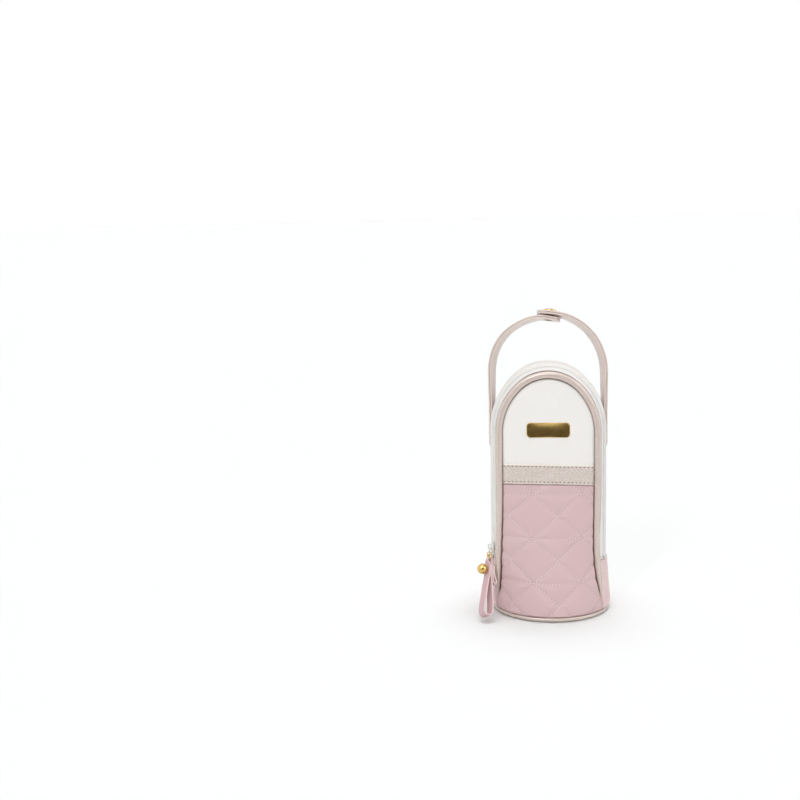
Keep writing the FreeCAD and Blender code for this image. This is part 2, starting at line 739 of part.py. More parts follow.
wire_ring("pull_link", "link_radius", "link_wire", LINK, "1;0;0")
wire_ring("pull_ring", "ring_radius", "ring_wire", RING, "0;1;0")

# Leather loop: one strip folded over the ring, pressed together at the stud, open below
LOOP = f"{RING} * {moved('0', '0', '-ring_radius')}"
EYE_OUT = "(eye_radius + strip)"
BOW_LEVEL = "(loop_bow - loop_length)"
BOW_IN = "(loop_bow - strip)"
loop = body("loop", LOOP)
loop_face = sketch(loop, "loop_face", "XZ_Plane")
outline(loop_face, [
    (f"-{EYE_OUT}", "0", EYE_OUT, -1),
    ("0", EYE_OUT, EYE_OUT, -1),
    (EYE_OUT, "0"),
    ("strip", "-eye_taper"),
    ("strip", "-loop_close"),
    ("loop_bow", BOW_LEVEL, "loop_bow", -1),
    ("0", "-loop_length", "loop_bow", -1),
    ("-loop_bow", BOW_LEVEL),
    ("-strip", "-loop_close"),
    ("-strip", "-eye_taper"),
])
ring(loop_face, "0", "0", "eye_radius")
outline(loop_face, [
    ("0", "-loop_close - strip"),
    (BOW_IN, BOW_LEVEL, BOW_IN, -1),
    ("0", "-loop_length + strip", BOW_IN, -1),
    (f"-{BOW_IN}", BOW_LEVEL),
])
pad(loop, "loop_pad", loop_face, "strip_width", middle=True)
for name, side in (("front", "1"), ("back", "-1")):
    corner = sketch(loop, f"loop_corner_{name}", "YZ_Plane")
    outline(corner, [
        (f"{side} * eye_width / 2", f"{EYE_OUT} + strip"),
        (f"{side} * eye_width / 2", "0"),
        (f"{side} * strip_width / 2", "-eye_taper"),
        (f"{side} * strip_width", "-eye_taper"),
        (f"{side} * strip_width", f"{EYE_OUT} + strip"),
    ])
    pocket(loop, f"loop_trim_{name}", corner, f"4 * {EYE_OUT}")
stud_hole = sketch(loop, "loop_stud_hole", "YZ_Plane")
ring(stud_hole, "0", "-stud_drop", "stud_neck + stud_fit")
pocket(loop, "loop_stud_pocket", stud_hole, f"4 * {EYE_OUT}")
node("pull_loop", loop)

# Short tail: a second folded strip held by the same stud, on the side of the wall
TAIL_NEAR = "(-strip - seam_gap)"
TAIL_FAR = "(-3 * strip - seam_gap)"
TAIL_AXIS = "(-4 * strip - seam_gap)"
TAIL_BOW = "(tail_bow - tail_length)"
TAIL_IN = "(tail_bow - strip)"
tail = body("tail", LOOP)
tail_face = sketch(tail, "tail_face", "XZ_Plane")
outline(tail_face, [
    (TAIL_FAR, "-eye_taper"),
    (TAIL_NEAR, "-eye_taper"),
    (TAIL_NEAR, "-loop_close + strip"),
    (f"{TAIL_AXIS} + tail_bow", TAIL_BOW, "tail_bow", -1),
    (TAIL_AXIS, "-tail_length", "tail_bow", -1),
    (f"{TAIL_AXIS} - tail_bow", TAIL_BOW),
    (TAIL_FAR, "-loop_close + strip"),
])
outline(tail_face, [
    (f"{TAIL_FAR} + strip", "-loop_close"),
    (f"{TAIL_AXIS} + {TAIL_IN}", TAIL_BOW, TAIL_IN, -1),
    (TAIL_AXIS, "-tail_length + strip", TAIL_IN, -1),
    (f"{TAIL_AXIS} - {TAIL_IN}", TAIL_BOW),
])
pad(tail, "tail_pad", tail_face, "strip_width", middle=True)
tail_hole = sketch(tail, "tail_hole", "YZ_Plane")
ring(tail_hole, "0", "-stud_drop", "stud_neck + stud_fit")
pocket(tail, "tail_pocket", tail_hole, f"8 * {EYE_OUT}")
node("pull_tail", tail)

# Ball stud: ball and neck from outside, screw from the side of the wall
STUD = f"{LOOP} * placement(vector(0; 0; -stud_drop); rotation(vector(0;1;0); 90))"
BALL_AXIS = "(strip + stud_fit + ball_radius)"
NECK_ROOT = "(sqrt(ball_radius^2 - stud_neck^2))"
ball = body("ball", STUD)
ball_profile = sketch(ball, "ball_profile", "XZ_Plane")
outline(ball_profile, [
    ("0", "-strip"),
    ("stud_neck", "-strip"),
    ("stud_neck", f"{BALL_AXIS} - {NECK_ROOT}", "ball_radius", 1),
    ("ball_radius", BALL_AXIS, "ball_radius", 1),
    ("0", f"{BALL_AXIS} + ball_radius"),
])
turned(ball, "ball_turned", ball_profile)
node("stud_ball", ball)
screw = body("screw", STUD)
screw_profile = sketch(screw, "screw_profile", "XZ_Plane")
outline(screw_profile, [
    ("0", f"{TAIL_FAR} - stud_fit - screw_thick"),
    ("screw_radius", f"{TAIL_FAR} - stud_fit - screw_thick"),
    ("screw_radius", f"{TAIL_FAR} - stud_fit"),
    ("stud_neck", f"{TAIL_FAR} - stud_fit"),
    ("stud_neck", "-strip - stud_fit"),
    ("0", "-strip - stud_fit"),
])
turned(screw, "screw_turned", screw_profile)
node("stud_screw", screw)

# Handle: straps drawn in the x-z plane through the middle of their tabs and extruded along
# the slanted direction of the wall there, so that each tab lies flat on the round wall
SPLAY_COS = "cos(strap_splay * 1deg)"
SPLAY_SIN = "sin(strap_splay * 1deg)"
TILT_COS = "cos(snap_tilt * 1deg)"
TILT_SIN = "sin(snap_tilt * 1deg)"
HALF = "strap_thick / 2"
STRAP_DEPTH = f"(body_radius * {SPLAY_SIN})"
STRAP_SIDE = f"(body_radius * {SPLAY_COS} + strap_fit + {HALF})"
LIFT = "(strap_thick + snap_gap)"
UNDER = f"((snap_side + {STRAP_SIDE}) / (1 + {TILT_SIN}))"
UNDER_X = f"({UNDER} - {STRAP_SIDE})"
UNDER_Z = f"(handle_height - {UNDER} * {TILT_COS})"
OVER = f"(({STRAP_SIDE} - snap_side - {LIFT} * {TILT_SIN}) / (1 - {TILT_SIN}))"
OVER_X = f"({STRAP_SIDE} - {OVER})"
OVER_Z = f"(handle_height + ({LIFT} - {OVER}) * {TILT_COS})"


def on_under(radius, along="0"):
    """Point of the lower strap at the snap: a radius from its bend and a run to its tip."""
    return (f"{UNDER_X} + ({radius}) * {TILT_SIN} + ({along}) * {TILT_COS}",
            f"{UNDER_Z} + ({radius}) * {TILT_COS} - ({along}) * {TILT_SIN}")


def on_over(radius, along="0"):
    """The same for the upper strap, whose tip points the other way."""
    return (f"{OVER_X} + ({radius}) * {TILT_SIN} - ({along}) * {TILT_COS}",
            f"{OVER_Z} + ({radius}) * {TILT_COS} + ({along}) * {TILT_SIN}")


def at_bend(radius, gap="0"):
    """Point of the upper strap where it bends, short of the bend by a gap."""
    turn = f"(bend_angle * 1deg - ({gap}) / {OVER} * 1rad)"
    return (f"{OVER_X} + ({radius}) * cos({turn})", f"{OVER_Z} + ({radius}) * sin({turn})")


OUT_UNDER = f"{UNDER} + {HALF}"
IN_UNDER = f"{UNDER} - {HALF}"
OUT_OVER = f"{OVER} + {HALF}"
IN_OVER = f"{OVER} - {HALF}"


def strap(label, corners, side, ends):
    """A strap from its edge view, with the corners of the named ends rounded."""
    item = body(f"{label}_body")
    edge_view = sketch(item, f"{label}_edge", "XZ_Plane", f"-{STRAP_DEPTH}")
    outline(edge_view, corners)
    solid = pad(item, f"{label}_pad", edge_view, "strap_width", middle=True)
    solid.UseCustomVector = True
    solid.Direction = FreeCAD.Vector(0, 1, 0)
    solid.setExpression("Direction.x", cells(f"{side} * {SPLAY_SIN}"))
    solid.setExpression("Direction.y", cells(SPLAY_COS))
    solid.AlongSketchNormal = False
    doc.recompute()
    corner_edges = []
    for k, edge in enumerate(solid.Shape.Edges):
        middle = edge.CenterOfMass
        short = abs(edge.Length - worth("strap_thick")) < worth("strap_thick") * CLOSE
        if short and any(abs(middle.x - worth(x)) < worth("strap_width") / 2
                         and abs(middle.z - worth(z)) < worth("strap_thick") / 2 for x, z in ends):
            corner_edges.append(f"Edge{k + 1}")
    rounded(item, f"{label}_corners", solid, corner_edges, "strap_round")
    return item


left = strap("strap_left", [
    (f"-{STRAP_SIDE} - {HALF}", "tab_low"),
    (f"-{STRAP_SIDE} - {HALF}", UNDER_Z, OUT_UNDER, -1),
    on_under(OUT_UNDER),
    on_under(OUT_UNDER, "tip_under"),
    on_under(IN_UNDER, "tip_under"),
    (*on_under(IN_UNDER), IN_UNDER, 1),
    (f"-{STRAP_SIDE} + {HALF}", UNDER_Z),
    (f"-{STRAP_SIDE} + {HALF}", "tab_low"),
], "1", [(f"-{STRAP_SIDE}", "tab_low"), on_under(UNDER, "tip_under")])
right = strap("strap_right", [
    (f"{STRAP_SIDE} + {HALF}", "tab_low"),
    (f"{STRAP_SIDE} + {HALF}", OVER_Z, OUT_OVER, 1),
    at_bend(OUT_OVER, "bend_gap"),
    (*at_bend(IN_OVER, "bend_gap"), IN_OVER, -1),
    (f"{STRAP_SIDE} - {HALF}", OVER_Z),
    (f"{STRAP_SIDE} - {HALF}", "tab_low"),
], "-1", [(STRAP_SIDE, "tab_low")])
tip = strap("strap_tip", [
    (*at_bend(OUT_OVER), OUT_OVER, 1),
    on_over(OUT_OVER),
    on_over(OUT_OVER, "tip_over"),
    on_over(IN_OVER, "tip_over"),
    (*on_over(IN_OVER), IN_OVER, -1),
    at_bend(IN_OVER),
], "-1", [on_over(OVER, "tip_over")])

# Snap: stud and back on the lower strap, socket and cap on the upper one, all on one axis
SNAP = (f"placement(vector(snap_side; {STRAP_DEPTH}; handle_height); rotation(vector(0;1;0); snap_tilt))")
UNDER_TOP = f"({HALF} + snap_fit)"
UNDER_LOW = f"(-{HALF} - snap_fit)"
OVER_LOW = f"({HALF} + snap_gap - snap_fit)"
OVER_TOP = f"({HALF} + {LIFT} + snap_fit)"
SHANK_HOLE = "shank_radius + shank_fit"
hole_under = rod("hole_under", SHANK_HOLE, "6 * strap_thick",
                 f"{SNAP} * {moved('0', '0', '-3 * strap_thick')}")
node("strap_right", right)
node("strap_left", less("strap_left_solid", left, hole_under))
node("strap_tip", less("strap_tip_solid", tip, hole_under))


def snap_piece(label, corners):
    """A turned metal piece on the axis of the snap."""
    item = body(f"{label}_body", SNAP)
    profile = sketch(item, f"{label}_profile", "XZ_Plane")
    outline(profile, corners)
    turned(item, f"{label}_turned", profile)
    return node(label, item)


snap_piece("snap_stud", [
    ("0", UNDER_LOW),
    ("shank_radius", UNDER_LOW),
    ("shank_radius", UNDER_TOP),
    ("flange_radius", UNDER_TOP),
    ("flange_radius", f"{UNDER_TOP} + flange_thick"),
    ("stud_radius", f"{UNDER_TOP} + flange_thick"),
    ("stud_radius", OVER_LOW),
    ("0", OVER_LOW),
])
snap_piece("stud_back", [
    ("0", f"{UNDER_LOW} - flange_thick - snap_fit"),
    ("flange_radius - flange_thick", f"{UNDER_LOW} - flange_thick - snap_fit"),
    ("flange_radius", f"{UNDER_LOW} - snap_fit"),
    ("flange_radius", UNDER_LOW),
    ("0", UNDER_LOW),
])
snap_piece("snap_socket", [
    ("socket_bore", f"{UNDER_TOP} + flange_thick + snap_fit"),
    ("flange_radius", f"{UNDER_TOP} + flange_thick + snap_fit"),
    ("flange_radius", OVER_LOW),
    ("socket_bore", OVER_LOW),
])
DOME = "((cap_radius^2 + (cap_height / 2)^2) / cap_height)"
snap_piece("snap_cap", [
    ("0", f"{OVER_LOW} + strap_thick / 2"),
    ("shank_radius", f"{OVER_LOW} + strap_thick / 2"),
    ("shank_radius", OVER_TOP),
    ("cap_radius", OVER_TOP),
    ("cap_radius", f"{OVER_TOP} + cap_height / 2", DOME, 1),
    ("0", f"{OVER_TOP} + cap_height"),
])

# Check the model, then write one file for each piece
doc.recompute()
failed = [item.Label for item in doc.Objects if "Invalid" in item.State or "Error" in item.State]
if failed:
    raise RuntimeError(f"objects that did not build: {failed}")
for item in nodes:
    if item.Shape.isNull() or not item.Shape.isValid() or not item.Shape.Solids:
        raise RuntimeError(f"{item.Label} has no valid solid")
os.makedirs("parts", exist_ok=True)
for item in nodes:
    item.Shape.exportStep(os.path.join("parts", f"{item.Label}.step"))
    print(f"{item.Label}: {len(item.Shape.Solids)} solid(s), {item.Shape.Volume:.1f} mm3")
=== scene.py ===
# %% [markdown]
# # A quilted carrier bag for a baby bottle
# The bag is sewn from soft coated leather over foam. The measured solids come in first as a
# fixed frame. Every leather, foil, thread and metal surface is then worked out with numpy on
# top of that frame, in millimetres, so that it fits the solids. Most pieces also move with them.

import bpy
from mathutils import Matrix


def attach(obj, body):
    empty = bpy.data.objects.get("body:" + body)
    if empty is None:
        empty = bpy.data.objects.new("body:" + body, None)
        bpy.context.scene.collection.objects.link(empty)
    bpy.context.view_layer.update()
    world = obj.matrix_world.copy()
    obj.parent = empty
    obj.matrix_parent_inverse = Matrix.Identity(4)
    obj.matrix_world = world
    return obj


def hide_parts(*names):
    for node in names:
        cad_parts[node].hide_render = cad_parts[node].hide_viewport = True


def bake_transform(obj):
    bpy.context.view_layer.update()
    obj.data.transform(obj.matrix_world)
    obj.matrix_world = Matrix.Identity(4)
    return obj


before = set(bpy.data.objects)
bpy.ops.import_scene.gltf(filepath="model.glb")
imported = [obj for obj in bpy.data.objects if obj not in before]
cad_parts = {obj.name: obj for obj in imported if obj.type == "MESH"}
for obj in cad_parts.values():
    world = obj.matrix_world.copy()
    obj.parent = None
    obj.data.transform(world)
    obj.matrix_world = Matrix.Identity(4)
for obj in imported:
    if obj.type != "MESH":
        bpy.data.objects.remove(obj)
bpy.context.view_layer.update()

import math

import bmesh
import bpy
import numpy as np
from mathutils import Matrix

# %% [markdown]
# ## Meshes from arrays
# A piece could be modelled by hand, but a sewn bag is made of regular strips, so each one is a
# grid of points. The helper below turns such an array into an object at the origin. It welds
# the points that fall on each other, which closes poles and seams, and turns all faces outwards.

# %% From an array to a piece
MM = 0.001
WELD, NO_LENGTH = 2e-6, 1e-7


def grid(rows, cols, wrap_rows=False, wrap_cols=False):
    """Four-cornered faces between neighbouring points of a rows by cols grid."""
    starts = np.arange(rows - (not wrap_rows)), np.arange(cols - (not wrap_cols))
    i, j = np.meshgrid(*starts, indexing="ij")
    i2, j2 = (i + 1) % rows, (j + 1) % cols
    return np.stack([i * cols + j, i * cols + j2, i2 * cols + j2, i2 * cols + j], -1).reshape(-1, 4)


def piece(name, points, faces, finish, slot, **numbers):
    """A smooth mesh from places in millimetres, with named numbers per point for its finish."""
    mesh = bpy.data.meshes.new(name)
    points = np.asarray(points, float).reshape(-1, 3) * MM
    mesh.vertices.add(len(points))
    mesh.vertices.foreach_set("co", points.ravel())
    mesh.loops.add(faces.size)
    mesh.loops.foreach_set("vertex_index", faces.ravel())
    mesh.polygons.add(len(faces))
    mesh.polygons.foreach_set("loop_start", np.arange(len(faces)) * 4)
    for label, values in numbers.items():
        layer = mesh.attributes.new(label, "FLOAT", "POINT")
        layer.data.foreach_set("value", np.asarray(values, np.float32).ravel())
    mesh.update(calc_edges=True)
    work = bmesh.new()
    work.from_mesh(mesh)
    bmesh.ops.remove_doubles(work, verts=work.verts, dist=WELD)
    bmesh.ops.dissolve_degenerate(work, edges=work.edges, dist=NO_LENGTH)
    bmesh.ops.recalc_face_normals(work, faces=work.faces)
    work.to_mesh(mesh)
    work.free()
    mesh.polygons.foreach_set("use_smooth", np.ones(len(mesh.polygons), bool))
    mesh.materials.append(finish)
    obj = bpy.data.objects.new(name, mesh)
    bpy.context.scene.collection.objects.link(obj)
    print(f"{name}: {len(mesh.vertices)} points")
    return obj


# %% [markdown]
# ## Finishes: shared effects
# Leather grain, glitter, weave and shading along seams appear on many pieces. Each effect is a
# node group that is built once. It puts out only values and colours, and the shader itself
# stays in the material.

# %% Node helpers
def link_in(tree, target, value):
    """Join an output to an input, or set the input if the value is plain."""
    if isinstance(value, bpy.types.NodeSocket):
        tree.links.new(value, target)
    else:
        target.default_value = value


def math_node(tree, operation, first, second=0.0, clamp=False):
    """One arithmetic step between two values."""
    node = tree.nodes.new("ShaderNodeMath")
    node.operation, node.use_clamp = operation, clamp
    link_in(tree, node.inputs[0], first)
    link_in(tree, node.inputs[1], second)
    return node.outputs[0]


def mix_colour(tree, share, first, second):
    """The first colour where the share is 0, the second where it is 1."""
    node = tree.nodes.new("ShaderNodeMix")
    node.data_type = "RGBA"
    link_in(tree, node.inputs["Factor"], share)
    link_in(tree, node.inputs["A"], first)
    link_in(tree, node.inputs["B"], second)
    return node.outputs["Result"]


def effect(name, inputs, outputs):
    """An empty node group with named sockets, and its two end nodes."""
    tree = bpy.data.node_groups.new(name, "ShaderNodeTree")
    for way, sockets in (("INPUT", inputs), ("OUTPUT", outputs)):
        for label, kind in sockets.items():
            tree.interface.new_socket(label, in_out=way, socket_type=f"NodeSocket{kind}")
    return tree, tree.nodes.new("NodeGroupInput").outputs, tree.nodes.new("NodeGroupOutput").inputs


def texture(tree, kind, place, scale, **settings):
    """A procedural texture read at a place."""
    node = tree.nodes.new(f"ShaderNodeTex{kind}")
    for key, value in settings.items():
        if key in node.inputs:
            node.inputs[key].default_value = value
        else:
            setattr(node, key, value)
    link_in(tree, node.inputs["Vector"], place)
    link_in(tree, node.inputs["Scale"], scale)
    return node


# %% Pebble grain: round cells with finer grain on them
FINE_GRAIN, FINE_SHARE, HUMP_POWER = 2.3, 0.5, 1.6
PLACED = {"Place": "Vector", "Size": "Float"}
grain, given, out = effect("pebble_grain", PLACED, {"Height": "Float"})
cells = texture(grain, "Voronoi", given["Place"], given["Size"], feature="SMOOTH_F1", Smoothness=0.6)
fine_size = math_node(grain, "MULTIPLY", given["Size"], FINE_GRAIN)
fine = texture(grain, "Noise", given["Place"], fine_size, Detail=3.0).outputs["Fac"]
hollow = math_node(grain, "POWER", cells.outputs["Distance"], HUMP_POWER)
hump = math_node(grain, "SUBTRACT", 1.0, hollow)
fine_height = math_node(grain, "MULTIPLY", fine, FINE_SHARE)
link_in(grain, out["Height"], math_node(grain, "ADD", hump, fine_height))

# %% Glitter and weave
FLAKE_POWER, THREAD_WANDER = 3.0, 0.4
glitter, given, out = effect("glitter", PLACED, {"Flake": "Float", "Height": "Float"})
flakes = texture(glitter, "Voronoi", given["Place"], given["Size"])
split = glitter.nodes.new("ShaderNodeSeparateColor")
link_in(glitter, split.inputs["Color"], flakes.outputs["Color"])
link_in(glitter, out["Flake"], math_node(glitter, "POWER", split.outputs["Red"], FLAKE_POWER))
link_in(glitter, out["Height"], split.outputs["Green"])

weave, given, out = effect("weave", PLACED, {"Height": "Float"})
warp, weft = (texture(weave, "Wave", given["Place"], given["Size"], bands_direction=way,
                      Distortion=THREAD_WANDER).outputs["Fac"] for way in "ZY")
link_in(weave, out["Height"], math_node(weave, "MULTIPLY", warp, weft))

# %% Tone: slow patches of the deeper colour at random, and the deeper colour painted as shade in the seams and creases
PATCH_SCALE, PATCH_SHARE = 60.0, 0.05
tone, given, out = effect("tone", {"Place": "Vector", "Colour": "Color", "Deep": "Color", "Seam": "Float"},
                          {"Colour": "Color"})
cloud = texture(tone, "Noise", given["Place"], PATCH_SCALE, Detail=2.0).outputs["Fac"]
patch = math_node(tone, "MULTIPLY", cloud, PATCH_SHARE)
# The stored seam share is painted shade: it darkens the colour in seams and creases, where shade falls.
share = math_node(tone, "ADD", patch, given["Seam"], clamp=True)
link_in(tone, out["Colour"], mix_colour(tone, share, given["Colour"], given["Deep"]))
print("shared effects:", [group.name for group in bpy.data.node_groups])


# %% [markdown]
# ## Finishes: materials
# The photograph shows white and pink leather with a fine pebble, a champagne band and piping
# with pearl flakes, polished gold metal and white zip parts. Colours are written as they look
# in plain light. A number stored on each panel paints shade into the colour in its seams and
# creases, where shade falls.

# %% Material helpers
def colour(red, green, blue):
    """A colour seen on a screen (0 to 255) as the linear light that shaders use."""
    share = np.array([red, green, blue]) / 255
    return (*np.where(share <= 0.04045, share / 12.92, ((share + 0.055) / 1.055) ** 2.4), 1.0)


def blank(name, **sockets):
    """A new material with its Principled shader, plain numbers set on the shader's sockets."""
    material = bpy.data.materials.new(name)
    material.use_nodes = True
    tree = material.node_tree
    shader = tree.nodes["Principled BSDF"]
    for label, value in sockets.items():
        shader.inputs[label.replace("_", " ")].default_value = value
    place = tree.nodes.new("ShaderNodeTexCoord").outputs["Object"]
    return material, tree, shader, place


def use(tree, group, **values):
    """A shared effect placed in a material."""
    node = tree.nodes.new("ShaderNodeGroup")
    node.node_tree = group
    for label, value in values.items():
        link_in(tree, node.inputs[label], value)
    return node.outputs


def stored(tree, label):
    """A number that is stored on the points of the piece."""
    node = tree.nodes.new("ShaderNodeAttribute")
    node.attribute_name = label
    return node.outputs["Fac"]


def bumped(tree, shader, height, depth):
    """Small relief of a depth in metres, by tilting the normal."""
    node = tree.nodes.new("ShaderNodeBump")
    node.inputs["Strength"].default_value = 1.0
    node.inputs["Distance"].default_value = depth
    tree.links.new(height, node.inputs["Height"])
    tree.links.new(node.outputs["Normal"], shader.inputs["Normal"])


# %% Leathers
PEARL, FLAKE_RELIEF = (1.0, 0.96, 0.92, 1.0), 0.6


def leather(name, face, deep, rough, cell, relief, flake=0.0, metal=0.0, edge=None, coat=0.0):
    """Coated leather: pebble grain of a cell size in metres, the deeper colour painted as shade in
    the seams and creases, pearl flakes of half that size if there are any, and another colour on
    a cut edge."""
    material, tree, shader, place = blank(name, Roughness=rough, Metallic=metal, Coat_Weight=coat,
                                          Coat_Roughness=0.2)
    shade = colour(*face)
    if edge:
        shade = mix_colour(tree, stored(tree, "edge"), shade, colour(*edge))
    # Painted shade: the stored share darkens the colour in seams and creases, where shade falls.
    seam = stored(tree, "seam")
    shade = use(tree, tone, Place=place, Colour=shade, Deep=colour(*deep), Seam=seam)["Colour"]
    height = use(tree, grain, Place=place, Size=1 / cell)["Height"]
    if flake:
        pearl = use(tree, glitter, Place=place, Size=1 / (0.5 * cell))
        bright = math_node(tree, "MULTIPLY", pearl["Flake"], flake)
        shade = mix_colour(tree, bright, shade, PEARL)
        flake_height = math_node(tree, "MULTIPLY", pearl["Height"], FLAKE_RELIEF)
        height = math_node(tree, "ADD", height, flake_height)
    tree.links.new(shade, shader.inputs["Base Color"])
    bumped(tree, shader, height, relief)
    return material


# The second colour of each leather is the deeper one: slow patches of it at random, and the same colour
# painted as shade in the seams, beside the piping and under the band.
WHITE = leather("white_leather", (240, 237, 234), (116, 94, 86), rough=0.5, cell=0.0008, relief=0.00016)
PINK = leather("pink_leather", (228, 202, 202), (146, 106, 104), rough=0.5, cell=0.0008, relief=0.00014)
QUILT = leather("quilt_leather", (211, 182, 183), (104, 68, 67), rough=0.52, cell=0.0008, relief=0.00014)
BAND = leather("pearl_band", (211, 197, 188), (96, 70, 64), rough=0.34, cell=0.0009, relief=0.00014,
               flake=0.7, metal=0.25, edge=(240, 231, 220))
PIPING = leather("pearl_piping", (209, 192, 183), (100, 74, 67), rough=0.27, cell=0.0007,
                 relief=0.00008, flake=0.3, metal=0.3, coat=0.6)
PULL = leather("pull_leather", (209, 176, 179), (150, 108, 112), rough=0.5, cell=0.0008,
               relief=0.00008, edge=(232, 210, 208))
STRAP = leather("strap_leather", (216, 198, 189), (112, 84, 77), rough=0.34, cell=0.0007,
                relief=0.00008, flake=0.25, metal=0.12, edge=(230, 214, 206), coat=0.4)


# %% Metals, threads, zip and foil
def metal(name, face, rough, spread):
    """Polished metal whose gloss changes a little, as plated metal does after handling."""
    material, tree, shader, place = blank(name, Metallic=1.0, Base_Color=colour(*face))
    smear = texture(tree, "Noise", place, 220.0, Detail=3.0).outputs["Fac"]
    gloss = math_node(tree, "ADD", math_node(tree, "MULTIPLY", smear, spread), rough)
    tree.links.new(gloss, shader.inputs["Roughness"])
    return material


GOLD = metal("polished_gold", (222, 188, 116), rough=0.06, spread=0.08)
# A dark copy of the gold, painted as shade for the press stud parts that sit between and under the straps.
SHADED_METAL = metal("metal_in_shade", (120, 94, 62), rough=0.3, spread=0.15)
# Colour of the painted shade in the seams of the plain finishes, such as where the zip tape runs under the
# piping.
SEAM_SHADE = colour(138, 116, 108)


def plain(name, face, deep, rough=0.6, size=2500.0, relief=0.0001, group=None, sheet=0.0):
    """Thread, woven tape, nylon, enamel or foil: a face colour, a deeper one painted as shade in the
    hollows of a small relief, painted shade in the seams where the piece stores it, and a share of
    metal. The numbers that are set here are those of thread."""
    material, tree, shader, place = blank(name, Roughness=rough, Metallic=sheet)
    if group:
        height = use(tree, group, Place=place, Size=size)["Height"]
    else:
        height = texture(tree, "Noise", place, size, Detail=4.0).outputs["Fac"]
    shade = mix_colour(tree, height, colour(*deep), colour(*face))
    # Painted shade: the stored share mixes in the seam shade colour.
    tree.links.new(mix_colour(tree, stored(tree, "seam"), shade, SEAM_SHADE), shader.inputs["Base Color"])
    bumped(tree, shader, height, relief)
    return material


PALE_THREAD = plain("pale_thread", (243, 230, 230), (230, 212, 212))
TAN_THREAD = plain("tan_thread", (140, 108, 92), (104, 76, 64))
STRAP_THREAD = plain("strap_thread", (206, 186, 176), (170, 146, 134))
WHITE_THREAD = plain("white_thread", (240, 238, 235), (214, 210, 206))
TAPE = plain("zip_tape", (250, 249, 247), (241, 239, 236), rough=0.75, size=1300.0, group=weave)
NYLON = plain("zip_nylon", (250, 249, 247), (243, 241, 238), rough=0.35, size=900.0, relief=0.00003)
ENAMEL = plain("white_enamel", (236, 233, 229), (226, 222, 217), rough=0.18, size=150.0, relief=0.00002)
FOIL = plain("foil_lining", (220, 222, 225), (192, 195, 199), rough=0.32, size=120.0, relief=0.0006,
             sheet=0.55)
print("finishes:", len(bpy.data.materials))

# %% [markdown]
# ## Lines and directions
# Every piece below needs the same few steps on lists of points: arcs, even spacing, lengths and
# directions. They are written once here, for whole arrays.

# %% Helpers for lines
def unit(vectors):
    """Vectors divided by their lengths."""
    return vectors / np.maximum(np.linalg.norm(vectors, axis=-1, keepdims=True), 1e-12)


def circle(count):
    """Angles once round, in even steps."""
    return np.linspace(0, 2 * math.pi, count, endpoint=False)


def arc(centre, radius, start, end, count):
    """Points of a flat arc: the centre plus radius times cosine and sine, between two degrees."""
    turn = np.radians(np.linspace(start, end, count))
    return np.asarray(centre) + radius * np.stack([np.cos(turn), np.sin(turn)], -1)


def lengths(points):
    """Length of a polyline from its start to each of its points."""
    return np.concatenate([[0], np.cumsum(np.linalg.norm(np.diff(points, axis=0), axis=1))])


def even(points, step):
    """Points along a polyline at even distances, about one step apart."""
    run = lengths(points)
    at = np.linspace(0, run[-1], max(2, int(round(run[-1] / step)) + 1))
    return np.stack([np.interp(at, run, line) for line in points.T], -1)


def even_loop(points, step):
    """Points along a closed outline at even distances."""
    return even(np.concatenate([points, points[:1]]), step)[:-1]


def upright(flat, y=0.0):
    """Places in an upright plane from pairs of x and z."""
    return np.stack([flat[..., 0], np.full(flat.shape[:-1], y), flat[..., 1]], -1)


def facing(places, *way):
    """The same direction at every place."""
    return np.broadcast_to(np.array(way, float), places.shape)


# %% [markdown]
# ## The forms that the panels lie on
# The bag is a round wall that flares a little at the ground and closes in a dome of two arcs.
# Its front is cut flat above and swells to the round base below. All panels are strips of these
# two surfaces, so the surfaces come first, as plain functions of height and depth under the skin.

# %% Round wall and dome
# Radius of the wall and of its foot, then the heights of the flare, the dome's spring and its top.
WALL, FOOT, FLARE, SPRING, TOP = 54.0, 56.0, 50.0, 171.0, 235.0
# Distance of the flat front from the axis, height where it starts to swell, and its edge's inset.
FRONT, BREAK, EASE = 25.0, 122.0, 0.8
DIAGONAL = math.sqrt(0.5)


def oval(half, rise):
    """Radii of the two arcs of a quarter oval that meet at 45 degrees: side arc and crown arc."""
    spare = 2 * DIAGONAL - 1
    side = (rise * DIAGONAL - half * (1 - DIAGONAL)) / spare
    crown = (half * DIAGONAL - rise * (1 - DIAGONAL)) / spare
    return side, crown


SHOULDER, CROWN = oval(WALL, TOP - SPRING)


def wall_radius(z, depth=0.0):
    """Distance of the wall from the axis: a line up to the flare, level up to the spring, then
    the shoulder arc and the crown arc, all moved in by the depth."""
    z = np.asarray(z, float)
    level = np.where(z < FLARE, FOOT + (WALL - FOOT) * z / FLARE, WALL) - depth
    shoulder = WALL - SHOULDER + np.sqrt(np.maximum((SHOULDER - depth) ** 2 - (z - SPRING) ** 2, 0))
    crown = np.sqrt(np.maximum((CROWN - depth) ** 2 - (z - TOP + CROWN) ** 2, 0))
    join = SPRING + (SHOULDER - depth) * DIAGONAL
    return np.where(z < SPRING, level, np.where(z < join, shoulder, crown))


def wall_normal(places):
    """Outward direction of the wall: away from the axis, or from the centre of the arc it is on."""
    x, y, z = np.moveaxis(places, -1, 0)
    reach = np.maximum(np.hypot(x, y), 1e-6)
    on_crown = z - (TOP - CROWN) > reach
    out = np.where(z < SPRING, 1.0, np.where(on_crown, reach, reach - WALL + SHOULDER))
    up = np.where(z < FLARE, (FOOT - WALL) / FLARE,
                  np.where(z < SPRING, 0.0, np.where(on_crown, z - TOP + CROWN, z - SPRING)))
    return unit(np.stack([x / reach * out, y / reach * out, up], -1))


# %% Places on the wall
RAYS, FARTHEST, HALVINGS = 241, 90.0, 36
LEG_STEPS, WALL_STEPS, ARC_STEPS = 80, 90, 60


